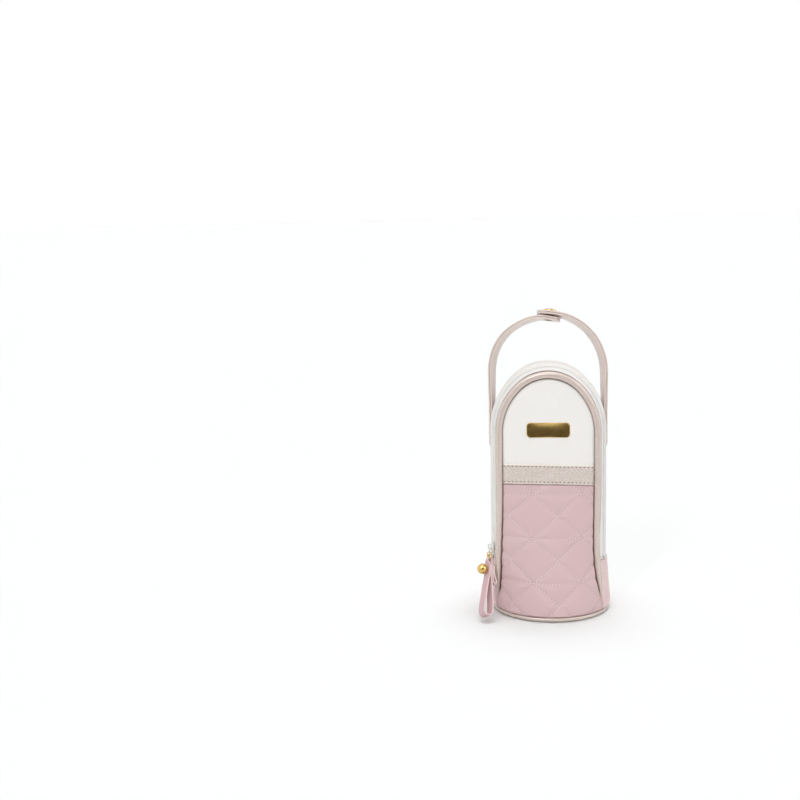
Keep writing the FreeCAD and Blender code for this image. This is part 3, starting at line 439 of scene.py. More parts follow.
def arch(ys, ts, foot, depth=0.0):
    """Places on the wall in upright slices: one row for each slice y, and along it t from 0 at
    the left foot over the top to 1 at the right foot, by length. Where a ray from the middle
    of the spring line leaves the wall is found by halving."""
    y = np.asarray(ys, float)[:, None]
    turn = np.radians(np.linspace(-90, 90, RAYS))
    low, high = np.zeros((len(y), RAYS)), np.full((len(y), RAYS), FARTHEST)
    for _ in range(HALVINGS):
        middle = (low + high) / 2
        wall = wall_radius(SPRING + middle * np.cos(turn), depth)
        outside = np.hypot(middle * np.sin(turn), y) > wall
        low, high = np.where(outside, low, middle), np.where(outside, middle, high)
    leg_z = np.linspace(foot, SPRING, LEG_STEPS)[:-1]
    leg_x = np.sqrt(np.maximum(wall_radius(leg_z, depth) ** 2 - y ** 2, 0))
    x = np.hstack([-leg_x, low * np.sin(turn), leg_x[:, ::-1]])
    z = np.hstack([leg_z + 0 * y, SPRING + low * np.cos(turn), leg_z[::-1] + 0 * y])
    length = np.hstack([0 * y, np.cumsum(np.hypot(np.diff(x), np.diff(z)), 1)])
    at = [np.asarray(ts) * run[-1] for run in length]
    across = np.array([np.interp(a, run, line) for a, run, line in zip(at, length, x)])
    up = np.array([np.interp(a, run, line) for a, run, line in zip(at, length, z)])
    return np.stack([across, y + 0 * across, up], -1)


def behind(cut, z, turns, depth=0.0):
    """Places on the wall behind the plane y = cut: at each height the turn goes from -1 at one
    cut edge round the back to 1 at the other."""
    reach = wall_radius(z, depth)[:, None]
    angle = np.arccos(np.clip(cut / np.maximum(reach, 1e-6), -1, 1)) * np.asarray(turns)
    return np.stack([reach * np.sin(angle), reach * np.cos(angle), np.asarray(z)[:, None] + 0 * angle], -1)


def heights(low, high, shares, depth=0.0):
    """Heights at shares of the length of the wall's outline between two levels."""
    lean = np.radians(np.linspace(0, 45, ARC_STEPS))
    line = np.concatenate([np.linspace(0, SPRING, WALL_STEPS),
                           SPRING + (SHOULDER - depth) * np.sin(lean)[1:],
                           TOP - CROWN + (CROWN - depth) * np.sin(lean + math.pi / 4)[1:]])
    line = np.unique(np.clip(line, low, high))
    run = lengths(np.stack([line, wall_radius(line, depth)], -1))
    return np.interp(np.asarray(shares) * run[-1], run, line)


# %% Front face
def front_face(across, z, depth=0.0):
    """The front: across goes from -1 at the left edge to 1 at the right. The ground line is a
    round arc, the line at the flare a flatter arc and the line at the break straight, and
    straight lines run up between them."""
    across, z = np.broadcast_arrays(np.asarray(across, float), np.asarray(z, float))
    flat, sag = FRONT - depth, FOOT - EASE - FRONT

    def line(radius, bow):
        """One level line between the edges: an arc with that bow, or a straight line."""
        half = math.sqrt((radius - EASE - depth) ** 2 - flat ** 2)
        if bow == 0:
            return half * across, -flat + 0 * across
        bend = (half ** 2 + bow ** 2) / (2 * bow)
        turn = math.asin(half / bend) * across
        return bend * np.sin(turn), -flat - bow + bend * (1 - np.cos(turn))

    low, middle, high = line(FOOT, sag), line(WALL, sag * (1 - FLARE / BREAK)), line(WALL, 0)
    first, second = np.clip(z / FLARE, 0, 1), np.clip((z - FLARE) / (BREAK - FLARE), 0, 1)
    x, y = (np.where(z < FLARE, a + (b - a) * first, b + (c - b) * second)
            for a, b, c in zip(low, middle, high))
    return np.stack([x, y, z], -1)


def surface_normal(places, towards):
    """Normals of a grid from its two running directions, on the side of a given direction."""
    normal = unit(np.cross(np.gradient(places, axis=0), np.gradient(places, axis=1)))
    return normal * np.sign(np.sum(normal * towards, -1, keepdims=True))


# %% Line of the piping
# Radius of the piping and of its tip, its inset from the wall, and the length over which it tapers.
PIPE, PIPE_TIP, PIPE_INSET, PIPE_TAPER = 3.1, 0.6, 2.2, 24.0
PIPE_HALF = math.sqrt((WALL - PIPE_INSET) ** 2 - FRONT ** 2)
PIPE_RISE = TOP - SPRING - CROWN + math.sqrt((CROWN - PIPE_INSET) ** 2 - FRONT ** 2)
PIPE_SIDE, PIPE_CROWN = oval(PIPE_HALF, PIPE_RISE)
# Height of the flap's fold, how far the piping spreads down to it, and the height of its end.
FOLD, SPLAY, PIPE_END = 52.3, 1.4, 15.0
SPLAY_BEND = ((BREAK - FOLD) ** 2 + SPLAY ** 2) / (2 * SPLAY)
SPLAY_TURN = 2 * math.atan(SPLAY / (BREAK - FOLD))


def half_arch(end):
    """Right half of the piping's line in the front plane, from the top down to a height: crown
    arc, side arc, level run, a wide arc that spreads it, and a slanted run to the end."""
    crown = arc((0, SPRING + PIPE_RISE - PIPE_CROWN), PIPE_CROWN, 90, 45, ARC_STEPS)
    side = arc((PIPE_HALF - PIPE_SIDE, SPRING), PIPE_SIDE, 45, 0, ARC_STEPS)
    bow = arc((PIPE_HALF + SPLAY_BEND, BREAK), SPLAY_BEND, 180, 180 + math.degrees(SPLAY_TURN), 30)
    tip = bow[-1] + (bow[-1, 1] - end) * np.array([math.tan(SPLAY_TURN), -1])
    return np.concatenate([crown, side[1:], bow, [tip]])


half_line = half_arch(PIPE_END)
pipe_line = even(np.concatenate([half_line[::-1] * [-1, 1], half_line[1:]]), 1.0)
taper = np.clip((pipe_line[:, 1] - PIPE_END) / PIPE_TAPER, 0, 1) ** 0.75
pipe_radius = PIPE_TIP + (PIPE - PIPE_TIP) * taper
PIPE_FADE, CREASE_WIDTH, CREASE_FADE = 8.0, 0.85, 0.14


def pipe_clear(x, z):
    """Distance from a place on the front to the inner edge of the piping, level across."""
    half = len(pipe_line) // 2
    inner = pipe_line[half:, 0] - pipe_radius[half:]
    return np.interp(z, pipe_line[half:, 1][::-1], inner[::-1]) - np.abs(x)


def crease(gap, z):
    """Share of painted shade in the crease beside the piping, also used for how far a panel is drawn
    in there: 1 over 1 + exp((gap - width) / fade), which falls from nearly full to almost none
    about the width, times a share that fades where the piping ends."""
    return np.clip((z - PIPE_END) / PIPE_FADE, 0, 1) / (1 + np.exp((gap - CREASE_WIDTH) / CREASE_FADE))


# %% Settling
# Each move with the height that it reaches, or with the height and span that it is centred on.
LEAN_RIGHT, LEAN_HEIGHT = 1.9, 50.0
TUCK, TUCK_HEIGHT = 0.03, 12.0
DRAWN, DRAWN_Z, DRAWN_SPAN = 2.4, 60.0, 38.0
DRAWN_X, DRAWN_Y, DRAWN_FADE = 48.0, -18.0, 6.0


def settled(points):
    """A soft bag settles to one side: places near the ground move right, most at the ground, and
    tuck in towards the base. The thread draws the right edge of the front in a little, most at
    the fold of the flap."""
    x, y, z = np.moveaxis(points, -1, 0)
    lean = LEAN_RIGHT * np.clip(1 - z / LEAN_HEIGHT, 0, 1) ** 1.2
    at_edge = np.clip(x / DRAWN_X, 0, 1) ** 2 * np.clip((DRAWN_Y - y) / DRAWN_FADE, 0, 1)
    drawn = DRAWN * np.exp(-((z - DRAWN_Z) / DRAWN_SPAN) ** 2) * at_edge
    tuck = TUCK * np.clip(1 - z / TUCK_HEIGHT, 0, 1) ** 2
    return np.stack([x * (1 - tuck) + lean - drawn, y * (1 - tuck), z], -1)


print("dome arcs:", round(SHOULDER, 1), round(CROWN, 1), "half front:", round(PIPE_HALF, 1))

# %% [markdown]
# ## Sewn panels
# A leather panel could be an extruded plate, but sewn leather turns down softly at its seams.
# The helper takes a grid on the surface below the leather and lifts it by the leather's
# thickness with a quarter-round fall towards every edge, then closes it from below.

# %% Panels with soft edges
def spread(length, soft, step):
    """Shares of a length: close together over the soft edges, one step apart between them."""
    edge = soft / length * np.array([0, 0.03, 0.12, 0.28, 0.5, 0.75, 1])
    middle = np.linspace(edge[-1], 1 - edge[-1], max(4, int(length / step)))
    return np.concatenate([edge[:-1], middle, 1 - edge[-2::-1]])


def edge_distance(places, wrap=False):
    """Distance of each grid point from the nearest edge, along the two running directions. In
    a wrapped grid only the last row is an edge."""
    def run(axis):
        """Distance from the nearer end, along one direction."""
        step = np.linalg.norm(np.diff(places, axis=axis), axis=-1)
        done = np.cumsum(step, axis)
        zero = np.zeros_like(np.take(done, [0], axis))
        done = np.concatenate([zero, done], axis)
        rest = np.take(done, [-1], axis) - done
        return rest if wrap else np.minimum(done, rest)
    return run(0) if wrap else np.minimum(run(0), run(1))


def panel(name, places, normal, thick, soft, finish, slot, puff=0.0, back=0.4, wrap=False, dark=0.0,
          seam_width=0.7, seam_share=1.0, below=0.3, **marks):
    """A closed leather panel: top lifted by thick times the root of 1 - (1 - d / soft) squared
    at a distance d from the edge, plus the puff, and an underside a little below the grid. Painted
    shade in the seams is strongest at the edge and where the dark share says so, and the underside
    has a share of painted shade all over."""
    rows, cols = places.shape[:2]
    far = edge_distance(places, wrap)
    near = np.clip(far / soft, 0, 1)
    lift = thick * np.sqrt(1 - (1 - near) ** 2) + puff * near
    top, under = places + normal * lift[..., None], places - normal * back
    count = rows * cols
    ring = np.arange(count).reshape(rows, cols)
    if wrap:
        loop = ring[-1]
    else:
        loop = np.concatenate([ring[0, :-1], ring[:-1, -1], ring[-1, :0:-1], ring[:0:-1, 0]])
    after = np.roll(loop, -1)
    faces = grid(rows, cols, wrap_cols=wrap)
    side = np.stack([loop, loop + count, after + count, after], -1)
    # Painted shade: darker towards the edges, where the seams are, and where the dark share puts shade in
    # creases.
    marks["seam"] = np.maximum(seam_share * np.exp(-far / seam_width), dark)
    under_mark = np.full(count, below)
    both = {key: np.concatenate([(mark + 0 * far).ravel(), under_mark]) for key, mark in marks.items()}
    return piece(name, settled(np.concatenate([top.reshape(-1, 3), under.reshape(-1, 3)])),
                 np.concatenate([faces, faces[:, ::-1] + count, side]), finish, slot, **both)


# %% [markdown]
# ## Gusset, back and lower side
# The gusset is a white arch beside the zip, and the back is one white panel inside that arch. The
# lower side is a pink strip that goes round the back from one end of the front piping to the
# other. All are cut from the round wall by upright planes and take its shape.

# %% Gusset
LEATHER, SOFT_EDGE, SEAM_GAP, LOWER_GAP = 1.6, 1.4, 0.1, 0.2
GUSSET_FRONT, BACK_SEAM, LOWER_TOP, FOOT_SEAM = -10.0, 24.0, 50.0, 4.0
ARCH_RUN = 420.0
# Narrow, faint painted shade along the seams of the white panels.
FINE_SEAM_SHADE = {"seam_width": 0.3, "seam_share": 0.35}
slices = GUSSET_FRONT + (BACK_SEAM - SEAM_GAP - GUSSET_FRONT) * spread(34.0, SOFT_EDGE, 2.0)
gusset_base = arch(slices, spread(ARCH_RUN, SOFT_EDGE, 2.2), LOWER_TOP + LOWER_GAP, LEATHER)
gusset = panel("gusset_leather", gusset_base, wall_normal(gusset_base), LEATHER, SOFT_EDGE, WHITE,
               "white_leather", **FINE_SEAM_SHADE)
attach(gusset, "bag_body")
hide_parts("gusset")

# %% Back
BACK_CUT = BACK_SEAM + SEAM_GAP
ROOF = TOP - CROWN + math.sqrt((CROWN - LEATHER) ** 2 - BACK_CUT ** 2)
back_z = heights(LOWER_TOP + LOWER_GAP, ROOF, spread(190.0, SOFT_EDGE, 2.2), LEATHER)
back_base = behind(BACK_CUT, back_z, 2 * spread(120.0, SOFT_EDGE, 2.0) - 1, LEATHER)
back = panel("back_leather", back_base, wall_normal(back_base), LEATHER, SOFT_EDGE, WHITE,
             "white_leather", **FINE_SEAM_SHADE)
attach(back, "bag_body")
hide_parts("back_panel")

# %% Lower side, which stands a little proud
LOWER_PROUD = 1.0
side_z = FOOT_SEAM + (LOWER_TOP - FOOT_SEAM) * spread(44.0, SOFT_EDGE, 1.5)
side_base = behind(-FRONT + 0.5, side_z, 2 * spread(230.0, SOFT_EDGE, 2.0) - 1, LEATHER)
lower_side = panel("lower_side_leather", side_base, wall_normal(side_base), LEATHER, SOFT_EDGE, PINK,
                   "pink_leather", LOWER_PROUD, seam_width=0.3, seam_share=0.4)
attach(lower_side, "bag_body")
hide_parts("lower_band")

# %% [markdown]
# ## Quilted front
# The pink front is leather stitched through a thin wadding, so it swells a little between the
# stitch lines. The lines here are plain triangle quilting: level rows and two diagonals. The
# height of the swelling depends on the distance from the nearest line.

# %% Quilting
ROW, COLUMN, ROW_START, COLUMN_START = 40.0, 45.2, 34.0, -14.5
BAND_LOW, BAND_HIGH, BAND_SLOPE = 123.0, 142.0, -0.016
SLANT = ROW * COLUMN / math.hypot(ROW, COLUMN)
FRONT_DEPTH, QUILT_SKIN, QUILT_SOFT, QUILT_TOP, QUILT_STEP = 0.4, 0.5, 1.2, 126.0, 0.55
PUFF, PUFF_WIDTH, GROOVE, GROOVE_WIDTH, PULLED_IN = 0.8, 3.8, 0.3, 0.6, 0.9


def half_run(z):
    """Length along the front from its middle line to its edge, at each height."""
    line = front_face(np.linspace(0, 1, 40)[:, None], np.asarray(z, float)[None], FRONT_DEPTH)
    return np.linalg.norm(np.diff(line, axis=0), axis=-1).sum(0)


def line_distance(u, z):
    """Distance from the nearest stitch line, which is a level row or one of two diagonals, at a
    length u along the front from its middle line."""
    a, b = (u - COLUMN_START) / COLUMN, (z - ROW_START) / ROW
    off = [np.abs(v - np.round(v)) for v in (b, a - b, a + b)]
    return np.minimum(off[0] * ROW, np.minimum(off[1], off[2]) * SLANT)


def quilt_puff(u, z):
    """Swelling between stitch lines: it rises with the distance d from the nearest line as
    1 - exp(-(d / width) squared), with a narrow groove on the line itself."""
    d = line_distance(u, z)
    return PUFF * (1 - np.exp(-(d / PUFF_WIDTH) ** 2)) - GROOVE * np.exp(-(d / GROOVE_WIDTH) ** 2)


# %% Quilted front panel
quilt_z = FOOT_SEAM + (QUILT_TOP - FOOT_SEAM) * spread(120.0, QUILT_SOFT, QUILT_STEP)
across, grid_z = np.meshgrid(2 * spread(94.0, QUILT_SOFT, QUILT_STEP) - 1, quilt_z)
grid_u = across * half_run(quilt_z)[:, None]
quilt_base = front_face(across, grid_z, FRONT_DEPTH)
quilt_normal = surface_normal(quilt_base, np.array([0, -1.0, 0]))
# Painted shade in the crease beside the piping; the same share also draws the quilt in there.
beside = crease(pipe_clear(quilt_base[..., 0], grid_z), grid_z)
# Painted shadow that the band casts on the quilt just below it.
shadow_below_band = 0.8 * np.exp(-((grid_z - BAND_LOW - BAND_SLOPE * quilt_base[..., 0]) / 0.9) ** 2)
# Painted shade in the grooves of the stitch lines.
shade_on_lines = 0.1 * np.exp(-(line_distance(grid_u, grid_z) / 0.5) ** 2)
beside_pipe = np.clip((grid_z - PIPE_END) / PIPE_FADE, 0.1, 1)
# Painted shade at the panel's edges: half at the foot seam, fading out where the piping ends.
edge_share = np.where(grid_z < FOOT_SEAM + QUILT_SOFT, 0.5, beside_pipe)
quilt = panel("front_quilt", quilt_base, quilt_normal, QUILT_SKIN, QUILT_SOFT, QUILT, "pink_leather",
              quilt_puff(grid_u, grid_z) - PULLED_IN * beside, 0.8,
              dark=np.maximum(np.maximum(beside, shadow_below_band), shade_on_lines), seam_share=edge_share)
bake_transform(quilt)
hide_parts("flap_quilt_panel", "lower_front_panel")


# %% [markdown]
# ## Stitches
# Stitches could be a texture, but real ones stand in the leather and cast small shadows. Each
# is a short thread that rises from one hole and sinks into the next. The helper lays them along
# a line on a surface, all in one array.

# %% Lines of stitches
STITCH_STEPS, STITCH_SIDES = 5, 6


def stitch_rows(lines, pitch, length, radius, lift=0.12):
    """Places and faces of stitches along lines of (place, normal): each is a thread of six
    sides whose height is lift times 1 - (2 a / length) squared along its length a."""
    centre, ahead, up = [], [], []
    for places, normals in lines:
        both = even(np.hstack([places, normals]), pitch)
        middle = (both[1:] + both[:-1]) / 2
        centre.append(middle[:, :3])
        ahead.append(np.diff(both[:, :3], axis=0))
        up.append(middle[:, 3:])
    centre, ahead, up = (np.concatenate(part) for part in (centre, ahead, up))
    ahead = unit(ahead)
    side = unit(np.cross(up, ahead))
    up = np.cross(ahead, side)
    a = np.linspace(-1, 1, STITCH_STEPS)
    thick = radius * np.sqrt(np.clip(1.02 - a ** 4, 0.02, 1))[:, None]
    turn = circle(STITCH_SIDES)
    rise = ((lift + radius) * (1 - a ** 2) - radius)[:, None]
    ring = (ahead[:, None, None] * (a * length / 2)[None, :, None, None]
            + side[:, None, None] * (thick * np.cos(turn))[None, ..., None]
            + up[:, None, None] * (rise + thick * np.sin(turn))[None, ..., None])
    points = centre[:, None, None] + ring
    start = np.array([[0, 1, 2, 3], [0, 3, 4, 5]])
    end = start[:, ::-1] + (STITCH_STEPS - 1) * STITCH_SIDES
    one = np.concatenate([grid(STITCH_STEPS, STITCH_SIDES, wrap_cols=True), start, end])
    first = STITCH_STEPS * STITCH_SIDES * np.arange(len(centre))
    return points.reshape(-1, 3), (one[None] + first[:, None, None]).reshape(-1, 4)


# %% Stitches of the quilt
QUILT_LOW, QUILT_HIGH, ROW_CLEAR, PIPE_ROOM, SHORTEST = 6.5, 121.5, 1.6, 2.2, 12


def on_quilt(u, z):
    """A stitch line on the swollen quilt at lengths u and heights z, as far as the piping."""
    share = u / half_run(z)
    base = front_face(share, z, FRONT_DEPTH)
    right, left, above, under = (front_face(share + du, z + dz, FRONT_DEPTH)
                                 for du, dz in ((0.01, 0), (-0.01, 0), (0, 0.5), (0, -0.5)))
    normal = unit(np.cross(right - left, above - under))
    keep = (np.abs(share) < 0.97) & (pipe_clear(base[:, 0], z) > PIPE_ROOM)
    return (base + normal * (QUILT_SKIN + quilt_puff(u, z))[:, None])[keep], normal[keep]


level = np.linspace(-60.0, 60.0, 400)
rows = ROW_START + ROW * np.arange(-1, 4)
lines = [on_quilt(level, np.full_like(level, z)) for z in rows[1:-1]]
for low, high in zip(rows[:-1] + ROW_CLEAR, rows[1:] - ROW_CLEAR):
    rise = np.linspace(max(low, QUILT_LOW), min(high, QUILT_HIGH), 120)
    steps = (rise - ROW_START) / ROW
    lines += [on_quilt(COLUMN_START + COLUMN * (k + way * steps), rise)
              for way in (1, -1) for k in range(-5, 6)]
lines = [line for line in lines if len(line[0]) > SHORTEST]
points, faces = stitch_rows(lines, pitch=3.0, length=1.6, radius=0.37, lift=0.26)
quilt_thread = piece("quilt_stitches", settled(points), faces, PALE_THREAD, "pink_leather")
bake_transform(quilt_thread)

# %% [markdown]
# ## Piping round the front
# A cord wrapped in champagne leather is sewn into the front edge. It goes up both sides and over
# the arch, spreads a little near the ground and tapers into the seam. It is a round profile
# carried along that path.

# %% Round profiles
CAP = 0.3


def rings(path, ahead, first, radius, sides):
    """Circles square to a path, each started from its own first direction."""
    turn = circle(sides)[:, None]
    second = np.cross(ahead, first)[:, None]
    return path[:, None] + radius * (first[:, None] * np.cos(turn) + second * np.sin(turn))


def tube(path, radius, sides, across):
    """A round profile carried along a path: at each point a circle of that radius square to the
    path, started from a direction across it, with the ends drawn to a point."""
    ahead = unit(np.gradient(path, axis=0))
    radius = np.broadcast_to(radius, len(path))[:, None, None]
    body = rings(path, ahead, unit(np.cross(ahead, np.broadcast_to(across, path.shape))), radius, sides)
    start, end = (np.broadcast_to(path[k] + s * ahead[k] * radius[k] * CAP, (1, sides, 3))
                  for k, s in ((0, -1), (-1, 1)))
    points = np.concatenate([start, body, end])
    return points.reshape(-1, 3), grid(len(points), sides, wrap_cols=True)


def closed_tube(path, radius, sides, across):
    """A round profile carried along a closed path, started from a direction across it."""
    ahead = unit(np.roll(path, -1, 0) - np.roll(path, 1, 0))
    first = np.broadcast_to(np.asarray(across, float), path.shape)
    first = unit(first - ahead * np.sum(first * ahead, 1, keepdims=True))
    return rings(path, ahead, first, radius, sides), grid(len(path), sides, True, True)


# %% Front piping
points, faces = tube(upright(pipe_line, -FRONT), pipe_radius, 28, (0, 1.0, 0))
# Painted shade on the back of the piping, where it meets the zip tape.
shade_behind_pipe = np.clip((points[:, 1] + FRONT - 2.0) / 0.8, 0, 1)
piping = piece("front_piping", settled(points), faces, PIPING, "champagne_leather", seam=shade_behind_pipe)
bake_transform(piping)
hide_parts("flap_piping", "piping_end_left", "piping_end_right")

# %% [markdown]
# ## White top panel and champagne band
# Above the quilt the flap is white leather, and a champagne strip covers the joint. The white
# panel is drawn in rings from its middle to the line of the piping, so that its edge follows
# the arch. The strip is folded under and sewn along both edges.

# %% Top panel
TOP_LOW, TOP_MIDDLE, TOP_SWELL = 131.0, (0.0, 168.0), 0.75


def shrunk(outline, middle, shares):
    """Rings of an outline, drawn in towards its middle by shares."""
    return middle + (outline - middle) * shares[:, None, None]


outer = half_arch(TOP_LOW)
outer = outer[outer[:, 1] > TOP_LOW]
low_edge = np.stack([np.linspace(PIPE_HALF, -PIPE_HALF, 60), np.full(60, TOP_LOW)], -1)
outline = even_loop(np.concatenate([outer[::-1] * [-1, 1], outer[1:], low_edge]), 1.2)
shares = np.concatenate([np.linspace(0, 0.96, 40), [0.975, 0.985, 0.993, 1.0]])
flat = shrunk(outline, np.array(TOP_MIDDLE), shares)
top_base = upright(flat, -FRONT + FRONT_DEPTH)
away = np.hypot(flat[..., :1] - pipe_line[::2, 0], flat[..., 1:] - pipe_line[::2, 1]).min(-1) - PIPE
# Painted shade in the crease beside the piping; the same share also draws the panel in there.
beside = crease(away, flat[..., 1])
swell = TOP_SWELL * (1 - shares[:, None] ** 2.5) - PULLED_IN * beside
top_panel = panel("top_leather", top_base, facing(top_base, 0, -1, 0), 0.4, 1.2, WHITE, "white_leather",
                  swell, 0.8, wrap=True, dark=beside)
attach(top_panel, "front_flap")
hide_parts("flap_top_panel")

# %% Band and its stitches
BAND_HALF, BAND_THICK, BAND_SOFT, SEWN_IN = 43.6, 1.0, 0.9, 2.3


def band_place(x, z):
    """The band's plane: just in front of the flap, sloping a little down to the right."""
    return np.stack([x, np.full_like(x, -FRONT), z + BAND_SLOPE * x], -1)


band_x, band_z = np.meshgrid(BAND_HALF * (2 * spread(87.0, BAND_SOFT, 1.0) - 1),
                             BAND_LOW + (BAND_HIGH - BAND_LOW) * spread(19.0, BAND_SOFT, 0.5))
band_base = band_place(band_x, band_z)
from_edge = np.minimum(band_z - BAND_LOW, BAND_HIGH - band_z)
groove = 0.25 - 0.35 * np.exp(-((from_edge - SEWN_IN) / 0.5) ** 2)
fold_over = np.clip(1.9 - from_edge, 0, 1)
# Painted shade where the ends of the band run under the piping; the band also sinks there. Its edges get a
# little painted seam shade.
band_end = crease(pipe_clear(band_x, band_z), band_z)
band = panel("front_band", band_base, facing(band_base, 0, -1, 0), BAND_THICK, BAND_SOFT, BAND,
             "champagne_leather", groove - 0.6 * band_end, 0.5, dark=band_end, seam_share=0.2, edge=fold_over)
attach(band, "front_flap")
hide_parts("flap_band")
run = np.linspace(-42.0, 42.0, 120)
lines = [band_place(run, np.full_like(run, z)) + [0, 0.05 - BAND_THICK, 0]
         for z in (BAND_LOW + SEWN_IN, BAND_HIGH - SEWN_IN)]
points, faces = stitch_rows([(line, facing(line, 0, -1, 0)) for line in lines], 3.7, 2.3, 0.38, 0.2)
band_thread = piece("band_stitches", points, faces, TAN_THREAD, "champagne_leather")
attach(band_thread, "front_flap")

# %% [markdown]
# ## Bare nameplate
# A polished gold plate is fixed to the white panel by two posts. It stays bare. Its outline is a
# rectangle with round corners, drawn in rings so that the rim can be rounded.

# %% Nameplate
PLATE_W, PLATE_H, PLATE_CORNER, PLATE_Z = 40.0, 14.0, 3.2, 174.0
PLATE_THICK, PLATE_SOFT, PLATE_SWELL = 1.1, 0.8, 0.1
corner = np.array([PLATE_W / 2 - PLATE_CORNER, PLATE_H / 2 - PLATE_CORNER])
corners = [arc(corner * way, PLATE_CORNER, start, start + 90, 12)
           for way, start in (((1, 1), 0), ((-1, 1), 90), ((-1, -1), 180), ((1, -1), 270))]
outline = even_loop(np.concatenate(corners), 0.7)
shares = np.concatenate([np.linspace(0, 0.86, 14), np.linspace(0.88, 1, 12)])
flat = shrunk(outline, np.zeros(2), shares)
plate_base = upright(flat + [0, PLATE_Z], -FRONT - 0.3)
plate_bulge = PLATE_SWELL * np.prod(1 - (2 * flat / [PLATE_W, PLATE_H]) ** 2, axis=-1)
plate = panel("nameplate_gold", plate_base, facing(plate_base, 0, -1, 0), PLATE_THICK, PLATE_SOFT, GOLD,
              "gold", plate_bulge, 0.3, wrap=True)
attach(plate, "front_flap")
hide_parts("nameplate", "nameplate_washers")

# %% [markdown]
# ## Zip
# The zip goes up the left side, over the arch and down the right side. Each half has a woven
# tape and a nylon coil. The coil is a thread wound round a line on the wall, as on the real zip.

# %% Tapes
# Slice of the zip, gap between its tapes, depth of the tapes, and the feet of its two halves.
ZIP, ZIP_GAP, TAPE_DEPTH, FLAP_FOOT, BODY_FOOT = -16.0, 0.2, 1.1, 53.0, 50.4
TAPE_THICK, TAPE_SOFT, UNDER_PIPE = 0.6, 0.3, -21.6
LIP_START, LIP_RUN, LIP_DEPTH, GUARD_DEPTH = 0.26, 0.735, 1.2, 4.8


def tape(name, near, far, shares, foot, depth, body):
    """A strip of the zip's tape: a thin piece of the wall between two slices, with painted shade
    where it goes under the piping."""
    ys = near + (far - near) * spread(abs(far - near), TAPE_SOFT, 0.4)
    base = arch(ys, shares, foot, depth)
    # Painted shade on the tape under the piping.
    under = np.clip((UNDER_PIPE - base[..., 1]) / 0.5, 0, 1)
    cloth = panel(name, base, wall_normal(base), TAPE_THICK, TAPE_SOFT, TAPE, "zip_tape", 0.0, 0.2,
                  seam_width=0.1, dark=under, below=0.0)
    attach(cloth, body)
    return cloth


along = spread(ARCH_RUN, 0.4, 2.0)
front_tape = tape("zip_tape_front", -23.6, ZIP - ZIP_GAP / 2, along, FLAP_FOOT, TAPE_DEPTH, "front_flap")
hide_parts("zip_tape_flap")
back_tape = tape("zip_tape_back", ZIP + ZIP_GAP / 2, -9.4, along, BODY_FOOT, TAPE_DEPTH, "bag_body")
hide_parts("zip_tape_body")
tape("zip_lip", ZIP - 0.8, ZIP + 0.09, LIP_START + LIP_RUN * along, FLAP_FOOT, LIP_DEPTH, "front_flap")
tape("zip_guard", -20.0, GUSSET_FRONT, along, BODY_FOOT, GUARD_DEPTH, "bag_body")

# %% Coils
COIL_SIDE, COIL_DEPTH, COIL_PITCH, COIL_OUT, COIL_WIRE = 1.05, 0.5, 1.5, 0.38, 0.3
COIL_NARROW, COIL_MORE, SLIDER_RUN, WIDENING = 0.64, 0.31, 0.255, 0.015


def coil(name, y, foot, start, body, node, phase):
    """Half of the zip's coil: an oval that turns once every pitch along a line on the wall. The
    other half starts half a turn later, so that the two hook into each other. Where the slider
    runs, the ovals are narrower and leave room for its post."""
    shares = np.linspace(start, 1, 2900)
    reach = COIL_NARROW + COIL_MORE * np.clip((shares - SLIDER_RUN) / WIDENING, 0, 1)[:, None]
    base = arch([y], shares, foot, COIL_DEPTH)[0]
    turn = (2 * math.pi * lengths(base) / COIL_PITCH + phase)[:, None]
    oval_out = wall_normal(base) * COIL_OUT * np.sin(turn)
    path = base + np.array([0, 1.0, 0]) * reach * np.cos(turn) + oval_out
    wound = piece(name, *tube(path, COIL_WIRE, 6, (0, 0.3, 1.0)), NYLON, "zip_coil")
    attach(wound, body)
    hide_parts(node)


coil("zip_coil_front", ZIP - COIL_SIDE, FLAP_FOOT, 0.034, "front_flap", "zip_coil_flap", 0.0)
coil("zip_coil_back", ZIP + COIL_SIDE, BODY_FOOT + 0.2, 0.0, "bag_body", "zip_coil_body", math.pi)

# %% Feet of the zip and the seam beside it
foot_y, foot_z = np.meshgrid(np.linspace(-23.4, -16.4, 15), np.linspace(50.1, 52.75, 8))
for name, hand in (("zip_foot_left", -1), ("zip_foot_right", 1)):
    foot_x = hand * np.sqrt(wall_radius(foot_z, TAPE_DEPTH) ** 2 - foot_y ** 2)
    foot_base = np.stack([foot_x, foot_y, foot_z], -1)
    foot = panel(name, foot_base, wall_normal(foot_base), TAPE_THICK, TAPE_SOFT, WHITE, "white_leather",
                 0.0, 0.6, seam_width=0.2)
    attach(foot, "bag_body")

seam_line = arch([-8.0], np.linspace(0.004, 0.996, 700), LOWER_TOP + 1)[0]
seam_out = wall_normal(seam_line)
points, faces = stitch_rows([(seam_line - 0.02 * seam_out, seam_out)], pitch=2.6, length=1.9, radius=0.22)
gusset_thread = piece("gusset_stitches", points, faces, WHITE_THREAD, "white_leather")
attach(gusset_thread, "bag_body")

# %% [markdown]
# ## Lining and foam
# Inside, foil lining covers the foam. It shows when the flap is open, with a bound edge as thick
# as the foam. The body's lining is a deep cup below the fold and an arched shell above it, and
# the flap has its own pad.

